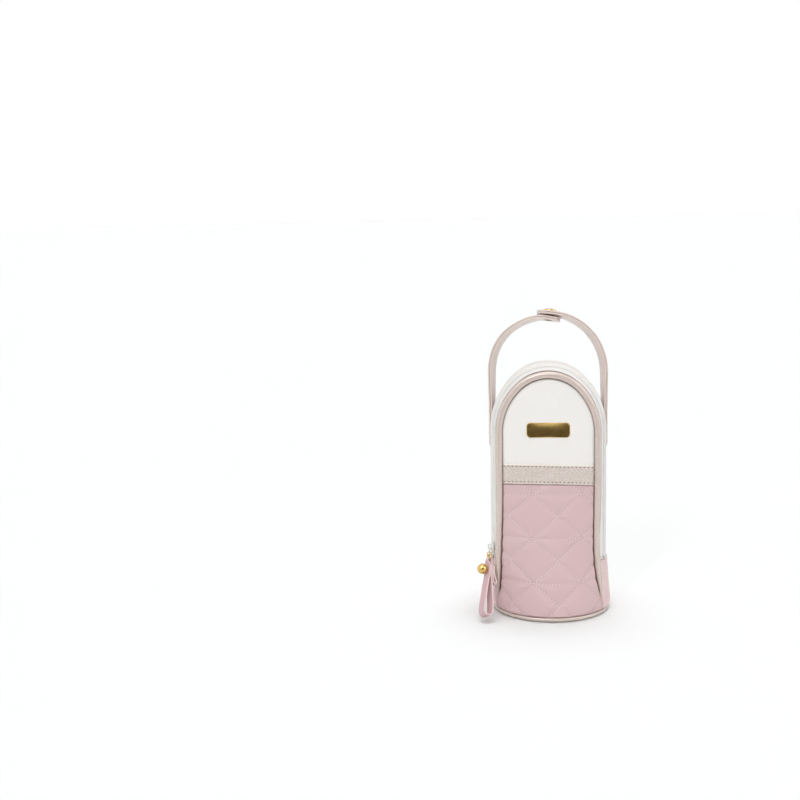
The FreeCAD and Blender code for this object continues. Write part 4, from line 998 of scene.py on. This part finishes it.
# %% Arched shell
FOAM_OUT, LINING_IN, FLOOR, PAD_SOFT, SHELL_LOW = 2.4, 7.0, 8.4, 2.2, 51.8
shell_z = heights(SHELL_LOW, TOP - FOAM_OUT, spread(260.0, PAD_SOFT, 3.0), FOAM_OUT)
shell_base = behind(GUSSET_FRONT + 0.6, shell_z, 2 * spread(200.0, PAD_SOFT, 3.0) - 1, FOAM_OUT)
shell = panel("body_lining_foil", shell_base, -wall_normal(shell_base), LINING_IN - FOAM_OUT, PAD_SOFT,
              FOIL, "foil_lining", 0.0, 0.0)
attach(shell, "bag_body")
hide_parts("body_foam", "body_lining")

# %% Cup below the fold
CUP_LOW, CUP_HIGH, CUP_ROLL = 6.0, 50.8, 0.75


def cup_line(z, depth, count=90):
    """Closed line round the inside at a height: the front face from left to right, then the
    round wall back to the left."""
    front = front_face(np.linspace(-1, 1, count), z, depth)
    start = math.atan2(front[-1, 0], front[-1, 1])
    turn = np.linspace(start, -start, count)[1:-1]
    radius = math.hypot(*front[-1, :2])
    return np.concatenate([front, np.stack([radius * np.sin(turn), radius * np.cos(turn), z + 0 * turn], -1)])


wall_middle, wall_half = (LINING_IN + FOAM_OUT) / 2, (LINING_IN - FOAM_OUT) / 2
rim = [(CUP_HIGH + 0.1 + CUP_ROLL * math.sin(a), wall_middle - wall_half * math.cos(a))
       for a in np.linspace(0, math.pi, 12)[1:-1]]
wall_out = [(z, FOAM_OUT) for z in np.linspace(CUP_LOW, CUP_HIGH, 24)]
wall_in = [(z, LINING_IN) for z in np.linspace(CUP_HIGH, FLOOR, 24)]
rows = [cup_line(z, depth) for z, depth in wall_out + rim + wall_in]
floor_rows = [rows[-1] * [share, share, 1] for share in (0.98, 0.8, 0.5, 0.2, 0.0)]
under_rows = [rows[0] * [share, share, 1] for share in (0.0, 0.5)]
cup_points = np.array(under_rows + rows + floor_rows)
cup_faces = grid(*cup_points.shape[:2], wrap_cols=True)
cup = piece("cup_lining_foil", settled(cup_points), cup_faces, FOIL, "foil_lining")
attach(cup, "bag_body")
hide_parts("base_foam", "base_board")

# %% Flap pad
PAD_INSET, PAD_BACK, PAD_DEPTH, PAD_THICK = 10.0, 20.5, 2.6, 4.2
PAD_LOW, PAD_HIGH, PAD_MIDDLE = 52.8, 226.0, (0.0, 130.0)
pad_z = heights(PAD_LOW, PAD_HIGH, np.linspace(0, 1, 80), PAD_INSET)
pad_half = np.sqrt(np.maximum(wall_radius(pad_z, PAD_INSET) ** 2 - PAD_BACK ** 2, 0))
right_edge = np.stack([pad_half, pad_z], -1)[pad_half > 0]
outline = even_loop(np.concatenate([right_edge * [-1, 1], right_edge[::-1]]), 1.5)
shares = np.concatenate([np.linspace(0, 0.9, 36), np.linspace(0.92, 1, 10)])
flat = shrunk(outline, np.array(PAD_MIDDLE), shares)
half = math.sqrt((WALL - EASE - PAD_DEPTH) ** 2 - (FRONT - PAD_DEPTH) ** 2)
pad_base = front_face(flat[..., 0] / half, flat[..., 1], PAD_DEPTH)
flap_pad = panel("flap_lining_foil", pad_base, facing(pad_base, 0, 1, 0), PAD_THICK, 2.4, FOIL,
                 "foil_lining", 0.0, 0.0, wrap=True)
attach(flap_pad, "front_flap")
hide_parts("flap_foam", "flap_lining")

# %% [markdown]
# ## Base
# The base is a round leather panel inside a ring of champagne piping. Both are surfaces of
# revolution.

# %% Base
RIM, RIM_RING, RIM_Z, BASE_RADIUS, BASE_Z = 2.1, 54.4, 2.2, 51.2, 1.4
around, section = circle(240), circle(28)[:, None]
reach = RIM_RING + RIM * np.cos(section)
rim_z = RIM_Z + RIM * np.sin(section) + 0 * around
ring = np.stack([reach * np.sin(around), reach * np.cos(around), rim_z], -1)
# Painted shade on the top of the rim, where it meets the wall above.
rim_seam = 0.8 * np.clip((rim_z - RIM_Z - 1.3) / 0.8, 0, 1) * (reach > RIM_RING - 1.4)
base_rim = piece("base_rim_piping", settled(ring), grid(28, 240, True, True), PIPING, "champagne_leather",
                 seam=rim_seam)
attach(base_rim, "bag_body")
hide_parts("base_piping")
disc = np.linspace(0, BASE_RADIUS, 40)[:, None]
disc_base = np.stack([disc * np.sin(around), disc * np.cos(around), np.full((40, 240), BASE_Z)], -1)
base_panel = panel("base_leather", disc_base, facing(disc_base, 0, 0, -1), 1.4, 1.2, PINK, "pink_leather",
                   0.0, 0.2, wrap=True)
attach(base_panel, "bag_body")
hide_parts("base_panel")

# %% [markdown]
# ## Slider and pull
# The slider rides on the coils at the left. A wire tab hangs in its bail, then a gold link, a
# gold ring and a folded pink strip with a gold ball stud. The same turns as in the solids place
# each part: a frame on the wall, then a lean, a flare and a twist.

# %% Frames
def turned(axis, degrees):
    """Turn about the x, y or z axis, as a 4 by 4 array."""
    return np.array(Matrix.Rotation(math.radians(degrees), 4, axis))


def moved(x, y, z):
    """Shift, as a 4 by 4 array."""
    return np.array(Matrix.Translation((x, y, z)))


def put(points, place):
    """Points of a local frame, placed on the bag."""
    return np.asarray(points) @ place[:3, :3].T + place[:3, 3]


def ridden(obj, body, *nodes):
    """Let a piece move with a body and stand for its solids."""
    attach(obj, body)
    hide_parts(*nodes)
    return obj


# %% Frames of the slider and the pull
SLIDER_Z, SLIDER_FIT, SLIDER_PLATE, BAIL_REACH, BAIL_WIRE = 61.0, 0.5, 1.2, 2.4, 0.7
TAB_LENGTH, TAB_WIRE, WIRE_FIT = 2.5, 0.6, 0.35
LINK, LINK_WIRE, RING, RING_WIRE, RING_FIT = 2.2, 0.5, 2.6, 0.7, 0.3
TAB_FLARE, LOOP_FLARE, LEAN, TWIST = 18.0, 12.0, 34.0, 20.0
OUTER_FACE = SLIDER_FIT + SLIDER_PLATE
TAB_EYE = BAIL_WIRE + WIRE_FIT + TAB_WIRE
TAB_AXIS = OUTER_FACE + WIRE_FIT + TAB_WIRE + TAB_EYE * math.sin(math.radians(TAB_FLARE))
BAIL_BAR = TAB_AXIS + TAB_WIRE + WIRE_FIT + BAIL_WIRE
LINK_DROP = TAB_LENGTH + TAB_EYE + LINK - LINK_WIRE - RING_FIT - TAB_WIRE
RING_DROP = LINK + RING - RING_WIRE - RING_FIT - LINK_WIRE
SLIDER_FRAME = (moved(-math.sqrt(WALL ** 2 - ZIP ** 2), ZIP, SLIDER_Z)
                @ turned("Z", 180 + math.degrees(math.asin(-ZIP / WALL))))
TAB_FRAME = SLIDER_FRAME @ moved(TAB_AXIS, 0, -BAIL_REACH) @ turned("X", LEAN) @ turned("Y", -TAB_FLARE)
LINK_FRAME = TAB_FRAME @ moved(0, 0, -LINK_DROP) @ turned("Z", TWIST / 2)
RING_FRAME = (TAB_FRAME @ moved(0, 0, -LINK_DROP - RING_DROP) @ turned("Y", TAB_FLARE - LOOP_FLARE)
              @ turned("Z", TWIST))
LOOP_FRAME = RING_FRAME @ moved(0, 0, -RING)


# %% Slider
def slab(outline, low, high, round_off, centre=(0, 0)):
    """A closed plate from an outline in the y-z plane of the slider: rings drawn in by the
    rounding at both faces, with a pole in the middle of each, round a centre."""
    turn = np.linspace(0, math.pi / 2, 6)
    to_pole, level = [8.0, 3.0, 1.8], [0, 0, 0]
    inset = np.concatenate([to_pole, 1 - np.sin(turn), 1 - np.sin(turn[::-1]), to_pole[::-1]])
    rise = np.concatenate([level, 1 - np.cos(turn), np.cos(turn[::-1]) - 1, level])
    x = np.where(np.arange(len(rise)) < len(rise) // 2, low, high) + rise * round_off
    share = np.clip(1 - inset[:, None] * round_off / np.abs(outline).max(0), 0, 1)
    ring = outline[None] * share[:, None] + np.array(centre)
    points = np.concatenate([np.broadcast_to(x[:, None, None], ring.shape[:2] + (1,)), ring], -1)
    return points.reshape(-1, 3), grid(len(x), len(outline), wrap_cols=True)


def together(*parts):
    """Several closed shells as one array of points and faces."""
    shift = np.cumsum([0] + [len(p) for p, _ in parts[:-1]])
    return np.concatenate([p for p, _ in parts]), np.concatenate([f + s for (_, f), s in zip(parts, shift)])


SLIDER_HALF, SLIDER_WIDE, SLIDER_TAPER, SQUARENESS = 4.5, 4.0, 0.5, 3.2
POST_HALF, POST_Z, POST_IN = (0.08, 1.8), -2.2, 0.6
wave = np.stack([np.cos(circle(72)), np.sin(circle(72))], -1)
oblong = np.sign(wave) * np.abs(wave) ** (2 / SQUARENESS)
slider_line = oblong * np.stack([SLIDER_WIDE - SLIDER_TAPER * oblong[:, 1], np.full(72, SLIDER_HALF)], -1)
INNER_FACE = LEATHER + TAPE_THICK + SLIDER_FIT + SLIDER_PLATE
points, faces = together(
    slab(slider_line, SLIDER_FIT, OUTER_FACE, 0.5),
    slab(slider_line, -INNER_FACE, -INNER_FACE + SLIDER_PLATE, 0.5),
    slab(oblong * POST_HALF, -INNER_FACE + POST_IN, SLIDER_FIT + POST_IN, 0.1, (0, POST_Z)))
slider = piece("slider_shell", put(points, SLIDER_FRAME), faces, ENAMEL, "white_enamel")
ridden(slider, "zip_slider", "slider_body")
BAIL_BEND, BAIL_SUNK = 1.0, 0.4
corner_x, corner_z = BAIL_BAR - BAIL_BEND, BAIL_REACH - BAIL_BEND
bail_line = np.concatenate([[[OUTER_FACE - BAIL_SUNK, -BAIL_REACH]],
                            arc((corner_x, -corner_z), BAIL_BEND, -90, 0, 8),
                            arc((corner_x, corner_z), BAIL_BEND, 0, 90, 8),
                            [[OUTER_FACE - BAIL_SUNK, BAIL_REACH]]])
points, faces = tube(even(upright(bail_line), 0.35), BAIL_WIRE, 14, (0, 1.0, 0))
bail = piece("slider_bail_wire", put(points, SLIDER_FRAME), faces, ENAMEL, "white_enamel")
ridden(bail, "zip_slider", "slider_bail")

# %% Tab, link and ring
tab_line = np.concatenate([arc((0, 0), TAB_EYE, 0, 180, 24), arc((0, -TAB_LENGTH), TAB_EYE, 180, 360, 24)])
full = np.stack([np.cos(circle(64)), np.sin(circle(64))], -1)
link_path, ring_path = upright(LINK * full), upright(RING * full)[:, [1, 0, 2]]
for name, path, wire, across, place, finish, slot, node in (
        ("pull_tab_wire", upright(tab_line)[:, [1, 0, 2]], TAB_WIRE, (1.0, 0, 0), TAB_FRAME,
         ENAMEL, "white_enamel", "pull_tab"),
        ("pull_link_gold", link_path, LINK_WIRE, (0, 1.0, 0), LINK_FRAME, GOLD, "gold", "pull_link"),
        ("pull_ring_gold", ring_path, RING_WIRE, (1.0, 0, 0), RING_FRAME, GOLD, "gold", "pull_ring")):
    points, faces = closed_tube(path, wire, 14, across)
    ridden(piece(name, put(points, place), faces, finish, slot), "zip_pull", node)


# %% [markdown]
# ## Leather strips
# The pull and the handle are flat strips. A strip is a profile carried along a path: two layers
# glued back to back, so that the cut edge shows two small beads with a line between them.

# %% Strips
FACE_STEPS, FACE_CROWN, END_CAP = 21, 0.1, 0.25


def strip_profile(width, thick, bead):
    """Outline of a strip's section: two flat faces that swell a little, and on each edge two
    half-round beads."""
    flat = np.linspace(-1, 1, FACE_STEPS) * (width / 2 - bead)
    lobe = np.linspace(0, math.pi, 8)
    edge_x = width / 2 - bead + bead * np.concatenate([np.sin(lobe), np.sin(lobe)[1:]])
    edge_y = thick / 4 * np.concatenate([1 + np.cos(lobe), -1 + np.cos(lobe)[1:]])
    face_y = np.full(FACE_STEPS, thick / 2)
    x = np.concatenate([flat, edge_x[1:-1], flat[::-1], -edge_x[1:-1]])
    y = np.concatenate([face_y, edge_y[1:-1], -face_y, edge_y[::-1][1:-1]])
    on_face = np.abs(x) < width / 2 - bead
    crown = np.where(on_face, FACE_CROWN * (1 - (2 * x / width) ** 2), 0) * np.sign(y)
    return np.stack([x, y + crown], -1)


def strip(path, side, width, profile, shares, closed=False):
    """A strip: the profile at each point of the path, its width along the side direction times
    the share there, its thickness square to side and path. Open ends close on a point. The last
    array tells how near each point is to a cut edge."""
    ahead = (np.roll(path, -1, 0) - np.roll(path, 1, 0)) if closed else np.gradient(path, axis=0)
    ahead = unit(ahead)
    side = np.broadcast_to(np.asarray(side, float), path.shape)
    up = unit(np.cross(ahead, side))
    shares = np.broadcast_to(shares, len(path))
    ring = (path[:, None] + side[:, None] * (profile[:, 0] * shares[:, None])[..., None]
            + up[:, None] * profile[:, 1, None])
    edge = np.clip((np.abs(profile[:, 0]) - (width / 2 - 0.5)) / 0.4, 0, 1)
    mark = np.broadcast_to(edge, ring.shape[:2])
    if not closed:
        start, end = (np.broadcast_to(ring[k].mean(0) + s * ahead[k] * END_CAP, (1, len(profile), 3))
                      for k, s in ((0, -1), (-1, 1)))
        ring = np.concatenate([start, ring, end])
        cut = np.ones((1, len(profile)))
        mark = np.concatenate([cut, mark, cut])
    return ring.reshape(-1, 3), grid(*ring.shape[:2], closed, True), mark


# %% Loop and tail of the pull
# Thickness and width of the strip, inner radius of the eye, outer radius of the bow, length of the
# loop, and half the distance between its two layers where they lie together.
STRIP, STRIP_WIDTH, STRIP_BEAD, EYE, BOW, LOOP_LENGTH, CLOSED = 1.3, 10.0, 0.35, 1.6, 5.2, 55.0, 0.72
EYE_WAIST = 6.0
TAIL_NEAR, TAIL_FAR, TAIL_BOW, TAIL_TURN = -2.15, -3.45, (-5.4, -21.6), 1.75


def softened(line, closed):
    """A line whose bends are eased six times: each point moves to the mean of itself, counted
    twice, and its neighbours. The ends of an open line stay."""
    for _ in range(6):
        eased = (np.roll(line, 1, 0) + 2 * line + np.roll(line, -1, 0)) / 4
        line = eased if closed else np.concatenate([line[:1], eased[1:-1], line[-1:]])
    return line


right_side = np.array([[CLOSED, -EYE_WAIST], [CLOSED, -10.0], [CLOSED, -15.0], [1.4, -19.0], [2.4, -26.0],
                       [3.6, -36.0], [4.4, -45.0]])
bow_line = arc((0, BOW - LOOP_LENGTH), BOW - STRIP / 2, 0, -180, 20)
loop_line = np.concatenate([arc((0, 0), EYE + STRIP / 2, 180, 0, 20), right_side, bow_line,
                            right_side[::-1] * [-1, 1]])
loop_line = softened(even_loop(loop_line, 0.8), True)
loop_share = 0.3 + 0.7 * np.clip(-loop_line[:, 1] / EYE_WAIST, 0, 1)
tail_line = np.concatenate([[[TAIL_NEAR, -6.0], [TAIL_NEAR, -13.0]], arc(TAIL_BOW, TAIL_TURN, 0, -180, 14),
                            [[TAIL_FAR, -13.0], [TAIL_FAR, -6.0]]])
tail_line = softened(even(tail_line, 0.7), False)
profile = strip_profile(STRIP_WIDTH, STRIP, STRIP_BEAD)
for name, line, shares, closed, node in (("pull_loop_leather", loop_line, loop_share, True, "pull_loop"),
                                         ("pull_tail_leather", tail_line, 1.0, False, "pull_tail")):
    points, faces, mark = strip(upright(line), (0, 1.0, 0), STRIP_WIDTH, profile, shares, closed)
    leather_strip = piece(name, put(points, LOOP_FRAME), faces, PULL, "pink_leather", edge=mark)
    ridden(leather_strip, "zip_pull", node)


# %% Ball stud
def lathe(profile, place, sides=48):
    """A profile of (radius, height) turned about the local z axis."""
    profile, turn = np.asarray(profile, float), circle(sides)
    across, height = profile[:, :1], profile[:, 1:] + 0 * turn
    ring = np.stack([across * np.cos(turn), across * np.sin(turn), height], -1)
    return put(ring.reshape(-1, 3), place), grid(len(profile), sides, wrap_cols=True)


STUD_FRAME = LOOP_FRAME @ moved(0, 0, -10.2) @ turned("Y", 90)
BALL, NECK, BALL_AXIS, SCREW_TOP = 4.9, 1.3, 6.35, -STRIP - 0.15
neck_angle = math.degrees(math.asin(NECK / BALL))
ball = arc((0, BALL_AXIS), BALL, 90, neck_angle - 90, 28)
ball_line = np.concatenate([ball, [[NECK, -STRIP], [0, -STRIP]]])
ridden(piece("stud_ball_gold", *lathe(ball_line, STUD_FRAME), GOLD, "gold"), "zip_pull", "stud_ball")
screw_line = [[0, -4.95], [2.6, -4.95], [2.9, -4.85], [3.0, -4.6], [2.9, -4.35], [2.6, -4.25],
              [NECK, -4.25], [NECK, SCREW_TOP], [0, SCREW_TOP]]
ridden(piece("stud_screw_gold", *lathe(screw_line, STUD_FRAME), GOLD, "gold"), "zip_pull", "stud_screw")

# %% [markdown]
# ## Handle
# Two straps start on the sides of the bag and meet in the middle, where a press stud closes
# them. The right strap lies on top. The stitches follow both edges of each strap.

# %% Handle straps
STRAP_WIDTH, STRAP_THICK, STRAP_ROUND, TAB_LOW = 15.0, 2.6, 5.0, 153.0
STRAP_FULL, STRAP_BEAD, LEAN_BACK, LEAN_FROM = 3.4, 0.7, math.radians(14), 200.0
SPLAY_ANGLE, TILT = math.radians(12), math.radians(7)
STRAP_DEPTH = WALL * math.sin(SPLAY_ANGLE)
STRAP_SIDE = WALL * math.cos(SPLAY_ANGLE) + 0.3 + STRAP_THICK / 2
SNAP_X, SNAP_Z, SNAP_LIFT = 3.0, 273.0, STRAP_THICK + 2.0
UNDER = (SNAP_X + STRAP_SIDE) / (1 + math.sin(TILT))
OVER = (STRAP_SIDE - SNAP_X - SNAP_LIFT * math.sin(TILT)) / (1 - math.sin(TILT))


def strap_path(radius, height, hand, tip, rise, rise_x, rise_span):
    """A strap's middle line: up from its tab, over an arc to the press stud and straight on to
    its tip. The hand is -1 for the left strap and 1 for the right one. Stiff leather leans in
    near its tab and springs out at the shoulder, so the arc's radius changes with its angle,
    and each strap rises a little near the stud."""
    angle = np.linspace(0, math.pi / 2 - hand * TILT, 120)
    reach = radius - 0.7 - 0.75 * np.cos(2 * angle) - 0.65 * np.cos(4 * angle)
    across = hand * (STRAP_SIDE - radius + reach * np.cos(angle))
    top = np.stack([across, height + reach * np.sin(angle)], -1)
    ahead = np.array([-hand * math.cos(TILT), hand * math.sin(TILT)])
    line = even(np.concatenate([[[top[0, 0], TAB_LOW]], top, [top[-1] + tip * ahead]]), 1.2)
    line[:, 1] += rise * np.exp(-((line[:, 0] - rise_x) / rise_span) ** 2)
    start, end = line[0], line[-1]
    close = np.array([0.0, 0.1, 0.3, 0.6, 0.95])[:, None]
    near_start, near_end = start + close * (line[1] - start), end + close * (line[-2] - end)
    return upright(np.concatenate([near_start, line[1:-1], near_end[::-1]]), STRAP_DEPTH)


# %% Straps with their stitches
SEWN_HALF, SEWN_END, CROSS_ROWS = 5.9, 3.0, (0, 15)


def handle_strap(name, path, hand):
    """A strap and its stitches: the width falls to a rounded corner at both ends. Towards the
    top the strap leans back, so that its back edge sinks."""
    flat = np.array([-hand * math.sin(SPLAY_ANGLE), math.cos(SPLAY_ANGLE), 0])
    out = unit(-hand * np.cross(np.gradient(path, axis=0), flat))
    lean = LEAN_BACK * np.clip((path[:, 2:] - LEAN_FROM) / (SNAP_Z - LEAN_FROM), 0, 1)
    side = flat * np.cos(lean) - out * np.sin(lean)
    step = lengths(path)
    near = np.clip(np.minimum(step, step[-1] - step), 0, STRAP_ROUND)
    corner_half = np.sqrt(np.maximum(STRAP_ROUND ** 2 - (STRAP_ROUND - near) ** 2, 0))
    shares = (STRAP_WIDTH / 2 - STRAP_ROUND + corner_half) / (STRAP_WIDTH / 2)
    profile = strip_profile(STRAP_WIDTH, STRAP_FULL, STRAP_BEAD)
    points, faces, mark = strip(path, side, STRAP_WIDTH, profile, shares)
    # Painted shade in the crease between the two beads of the cut edge.
    groove = 0.9 * np.exp(-(np.abs(profile[:, 1]) / 0.45) ** 2) * mark
    body = piece(name, points, faces, STRAP, "strap_leather", seam=groove, edge=mark)
    sewn = (step > SEWN_END) & (step < step[-1] - SEWN_END)
    up, side = (out * np.cos(lean) + flat * np.sin(lean))[sewn], side[sewn]
    face = path[sewn] + up * (STRAP_FULL / 2 + 0.02)
    rows = [(face + side * shift, up) for shift in (-SEWN_HALF, SEWN_HALF)]
    across = np.linspace(-SEWN_HALF, SEWN_HALF, 30)[:, None]
    rows += [(face[k] + side[k] * across, np.repeat(up[k:k + 1], 30, 0)) for k in CROSS_ROWS]
    points, faces = stitch_rows(rows, pitch=2.7, length=2.0, radius=0.22, lift=0.1)
    return body, piece(f"{name}_stitches", points, faces, STRAP_THREAD, "strap_leather")


left_path = strap_path(UNDER, SNAP_Z - UNDER * math.cos(TILT), -1, 8.4,
                       rise=1.3, rise_x=-10.0, rise_span=14.0)
left_strap, left_thread = handle_strap("handle_left", left_path, -1)
ridden(left_strap, "bag_body", "strap_left")
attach(left_thread, "bag_body")
right_path = strap_path(OVER, SNAP_Z + (SNAP_LIFT - OVER) * math.cos(TILT), 1, 12.9,
                        rise=0.8, rise_x=SNAP_X, rise_span=25.0)
right_strap, right_thread = handle_strap("handle_right", right_path, 1)
for item in (right_strap, right_thread):
    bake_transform(item)
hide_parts("strap_right", "strap_tip")

# %% [markdown]
# ## Press stud
# A press stud has a ball half on the lower strap and a socket half with a domed cap on the upper
# one. All four are turned profiles on one axis, each a short list of radius and height.

# %% Press stud
SNAP_SHIFT, SNAP_RAISE = -1.5, 0.2
SNAP_FRAME = (moved(SNAP_X + SNAP_SHIFT, STRAP_DEPTH, SNAP_Z + SNAP_RAISE) @ turned("Y", math.degrees(TILT))
              @ turned("X", -math.degrees(LEAN_BACK)))
CAP_RADIUS, CAP_TOP, CAP_DOME, POST, FLANGE = 6.3, 9.2, 1.35, 1.4, 4.4
dome = np.linspace(0, 1, 14)
dome_line = np.stack([CAP_RADIUS * dome, CAP_TOP - CAP_DOME * dome ** 2], -1)
cap_rim = [[6.5, 7.6], [6.5, 6.85], [6.35, 6.5], [6.1, 6.4], [POST, 6.4], [POST, 4.3], [0, 4.3]]
cap_line = np.concatenate([dome_line, cap_rim])
socket_line = [[2.6, 2.62], [FLANGE, 2.62], [4.58, 2.7], [4.58, 2.9], [FLANGE, 3.0], [2.6, 3.0], [2.6, 2.62]]
stud_line = [[0, -1.62], [POST, -1.62], [POST, 1.66], [FLANGE, 1.66], [4.58, 1.8], [4.58, 2.1],
             [FLANGE, 2.24], [1.9, 2.24], [1.8, 2.4], [1.8, 2.75], [1.6, 2.94], [0, 2.94]]
washer_line = [[0, -2.05], [3.6, -2.05], [4.2, -1.9], [4.5, -1.7], [4.5, -1.2], [0, -1.2]]
# The socket, stud and washer sit in the dark gap between and under the straps, so their metal is painted dark
# as shade.
for name, line, finish, body, node in (("snap_cap_gold", cap_line, GOLD, "handle_tip", "snap_cap"),
                                       ("snap_socket_in_shade", socket_line, SHADED_METAL, "handle_tip", "snap_socket"),
                                       ("snap_stud_in_shade", stud_line, SHADED_METAL, "bag_body", "snap_stud"),
                                       ("snap_back_in_shade", washer_line, SHADED_METAL, "bag_body", "stud_back")):
    ridden(piece(name, *lathe(line, SNAP_FRAME), finish, "gold"), body, node)

# %% [markdown]
# ## Zip stops
# Two small metal clips end the zip. Their solids are already right, so they only get a finish.

# %% Finish of the solids that stay
stops = bpy.data.objects["zip_stops"]
stops.data.materials.clear()
stops.data.materials.append(ENAMEL)

# %% [markdown]
# ## Stage
# The photograph was taken on a white table in soft light. A pale floor keeps the shadow, the
# world is white behind it, and large lamps give soft light from the front and the right. A lamp
# of its own lights the floor from above and behind, so that the shadow stays close round the
# base. Dark cards that show only in reflections give the plate its dark half.

# %% Floor and cards
def sheet_finish(name, first, second, scale, **sockets):
    """A dull stage finish whose colour wanders between two colours."""
    material, tree, shader, place = blank(name, Roughness=0.9, **sockets)
    mottle = texture(tree, "Noise", place, scale).outputs["Fac"]
    shade = mix_colour(tree, mottle, colour(*first), colour(*second))
    tree.links.new(shade, shader.inputs["Base Color"])
    return material


def stage_plane(name, size, place, finish):
    """A flat stage sheet at the origin, moved to its place."""
    mesh = bpy.data.meshes.new(name)
    x, y = size[0] / 2, size[1] / 2
    mesh.from_pydata([(-x, -y, 0), (x, -y, 0), (x, y, 0), (-x, y, 0)], [], [(0, 1, 2, 3)])
    mesh.transform(place)
    mesh.materials.append(finish)
    sheet = bpy.data.objects.new(name, mesh)
    bpy.context.scene.collection.objects.link(sheet)
    return sheet


PAPER = sheet_finish("pale_paper", (247, 249, 249), (248, 250, 250), 30.0, Specular_IOR_Level=0.0)
DARK = sheet_finish("dark_card", (44, 38, 32), (70, 60, 52), 10.0)
floor = stage_plane("floor", (40.0, 40.0), Matrix.Identity(4), PAPER)
STAND = Matrix.Rotation(math.pi / 2, 4, "X")
for name, size, place in (
        ("card_seen_by_metal", (1.6, 0.6), Matrix.Translation((0, -0.95, 0.002))),
        ("screen_seen_by_metal", (2.2, 1.1), Matrix.Translation((-0.1, -1.9, 0.66)) @ STAND),
        ("screen_behind", (1.0, 0.8), Matrix.Translation((0, 1.6, 0.7)) @ STAND)):
    card = stage_plane(name, size, place, DARK)
    card.visible_camera = card.visible_diffuse = card.visible_shadow = card.visible_transmission = False

# %% World
AMBIENT = 0.55
world = bpy.data.worlds.new("studio")
bpy.context.scene.world = world
world.use_nodes = True
tree = world.node_tree
rays = tree.nodes.new("ShaderNodeLightPath").outputs
seen = math_node(tree, "ADD", rays["Is Camera Ray"], rays["Is Glossy Ray"])
seen = math_node(tree, "ADD", seen, rays["Is Transmission Ray"], clamp=True)
strength = math_node(tree, "ADD", math_node(tree, "MULTIPLY", seen, 1.0 - AMBIENT), AMBIENT)
tree.nodes["Background"].inputs["Color"].default_value = (1, 1, 1, 1)
tree.links.new(strength, tree.nodes["Background"].inputs["Strength"])


# %% Lamps
def lamp(name, place, softness, strength, floor_state=None):
    """A wide soft lamp, as far away as the sun, that shines from a place towards the origin. It
    lights everything, only the floor (INCLUDE) or everything but the floor (EXCLUDE)."""
    light = bpy.data.lights.new(name, "SUN")
    light.angle, light.energy = math.radians(softness), strength
    obj = bpy.data.objects.new(name, light)
    away = unit(np.array(place))
    side = unit(np.cross((0, 0, 1.0), away))
    axes = np.stack([side, np.cross(away, side), away], 1)
    obj.matrix_world = Matrix([(*row, p) for row, p in zip(axes, place)] + [(0, 0, 0, 1)])
    bpy.context.scene.collection.objects.link(obj)
    if floor_state:
        group = bpy.data.collections.new(f"{name}_floor")
        group.objects.link(floor)
        group.collection_objects[0].light_linking.link_state = floor_state
        obj.light_linking.receiver_collection = group


lamp("key", (-0.5, -1.2, 1.5), 32.0, 0.98, "EXCLUDE")
lamp("table", (-0.03, 0.32, 1.7), 50.0, 1.02, "INCLUDE")
lamp("top", (0.15, 0.25, 1.7), 24.0, 0.5)
lamp("fill", (1.3, -0.4, 0.8), 34.0, 0.46, "EXCLUDE")
lamp("glint", (-0.5, -1.25, 1.0), 5.0, 0.2)

# %% Camera
# Angles in radians, found by matching points of the bag with the photograph.
YAW, PITCH, ROLL, ORBIT = 0.1153, 0.1558, 0.0211, math.radians(0.5)
CAMERA_AWAY, CAMERA_Z = -1.2, 0.38816
camera = bpy.data.cameras.new("camera")
camera.sensor_width, camera.lens = 36.0, 58.19
way = Matrix.Rotation(YAW, 3, "Z") @ Matrix.Rotation(-PITCH, 3, "X") @ Matrix.Rotation(ROLL, 3, "Y")
viewer = bpy.data.objects.new("camera", camera)
bpy.context.scene.collection.objects.link(viewer)
viewer.matrix_world = (Matrix.Rotation(-ORBIT, 4, "Z") @ Matrix.Translation((0, CAMERA_AWAY, CAMERA_Z))
                       @ (way @ Matrix.Rotation(math.pi / 2, 3, "X")).to_4x4())
bpy.context.scene.camera = viewer
bpy.context.scene.view_settings.view_transform = "Standard"
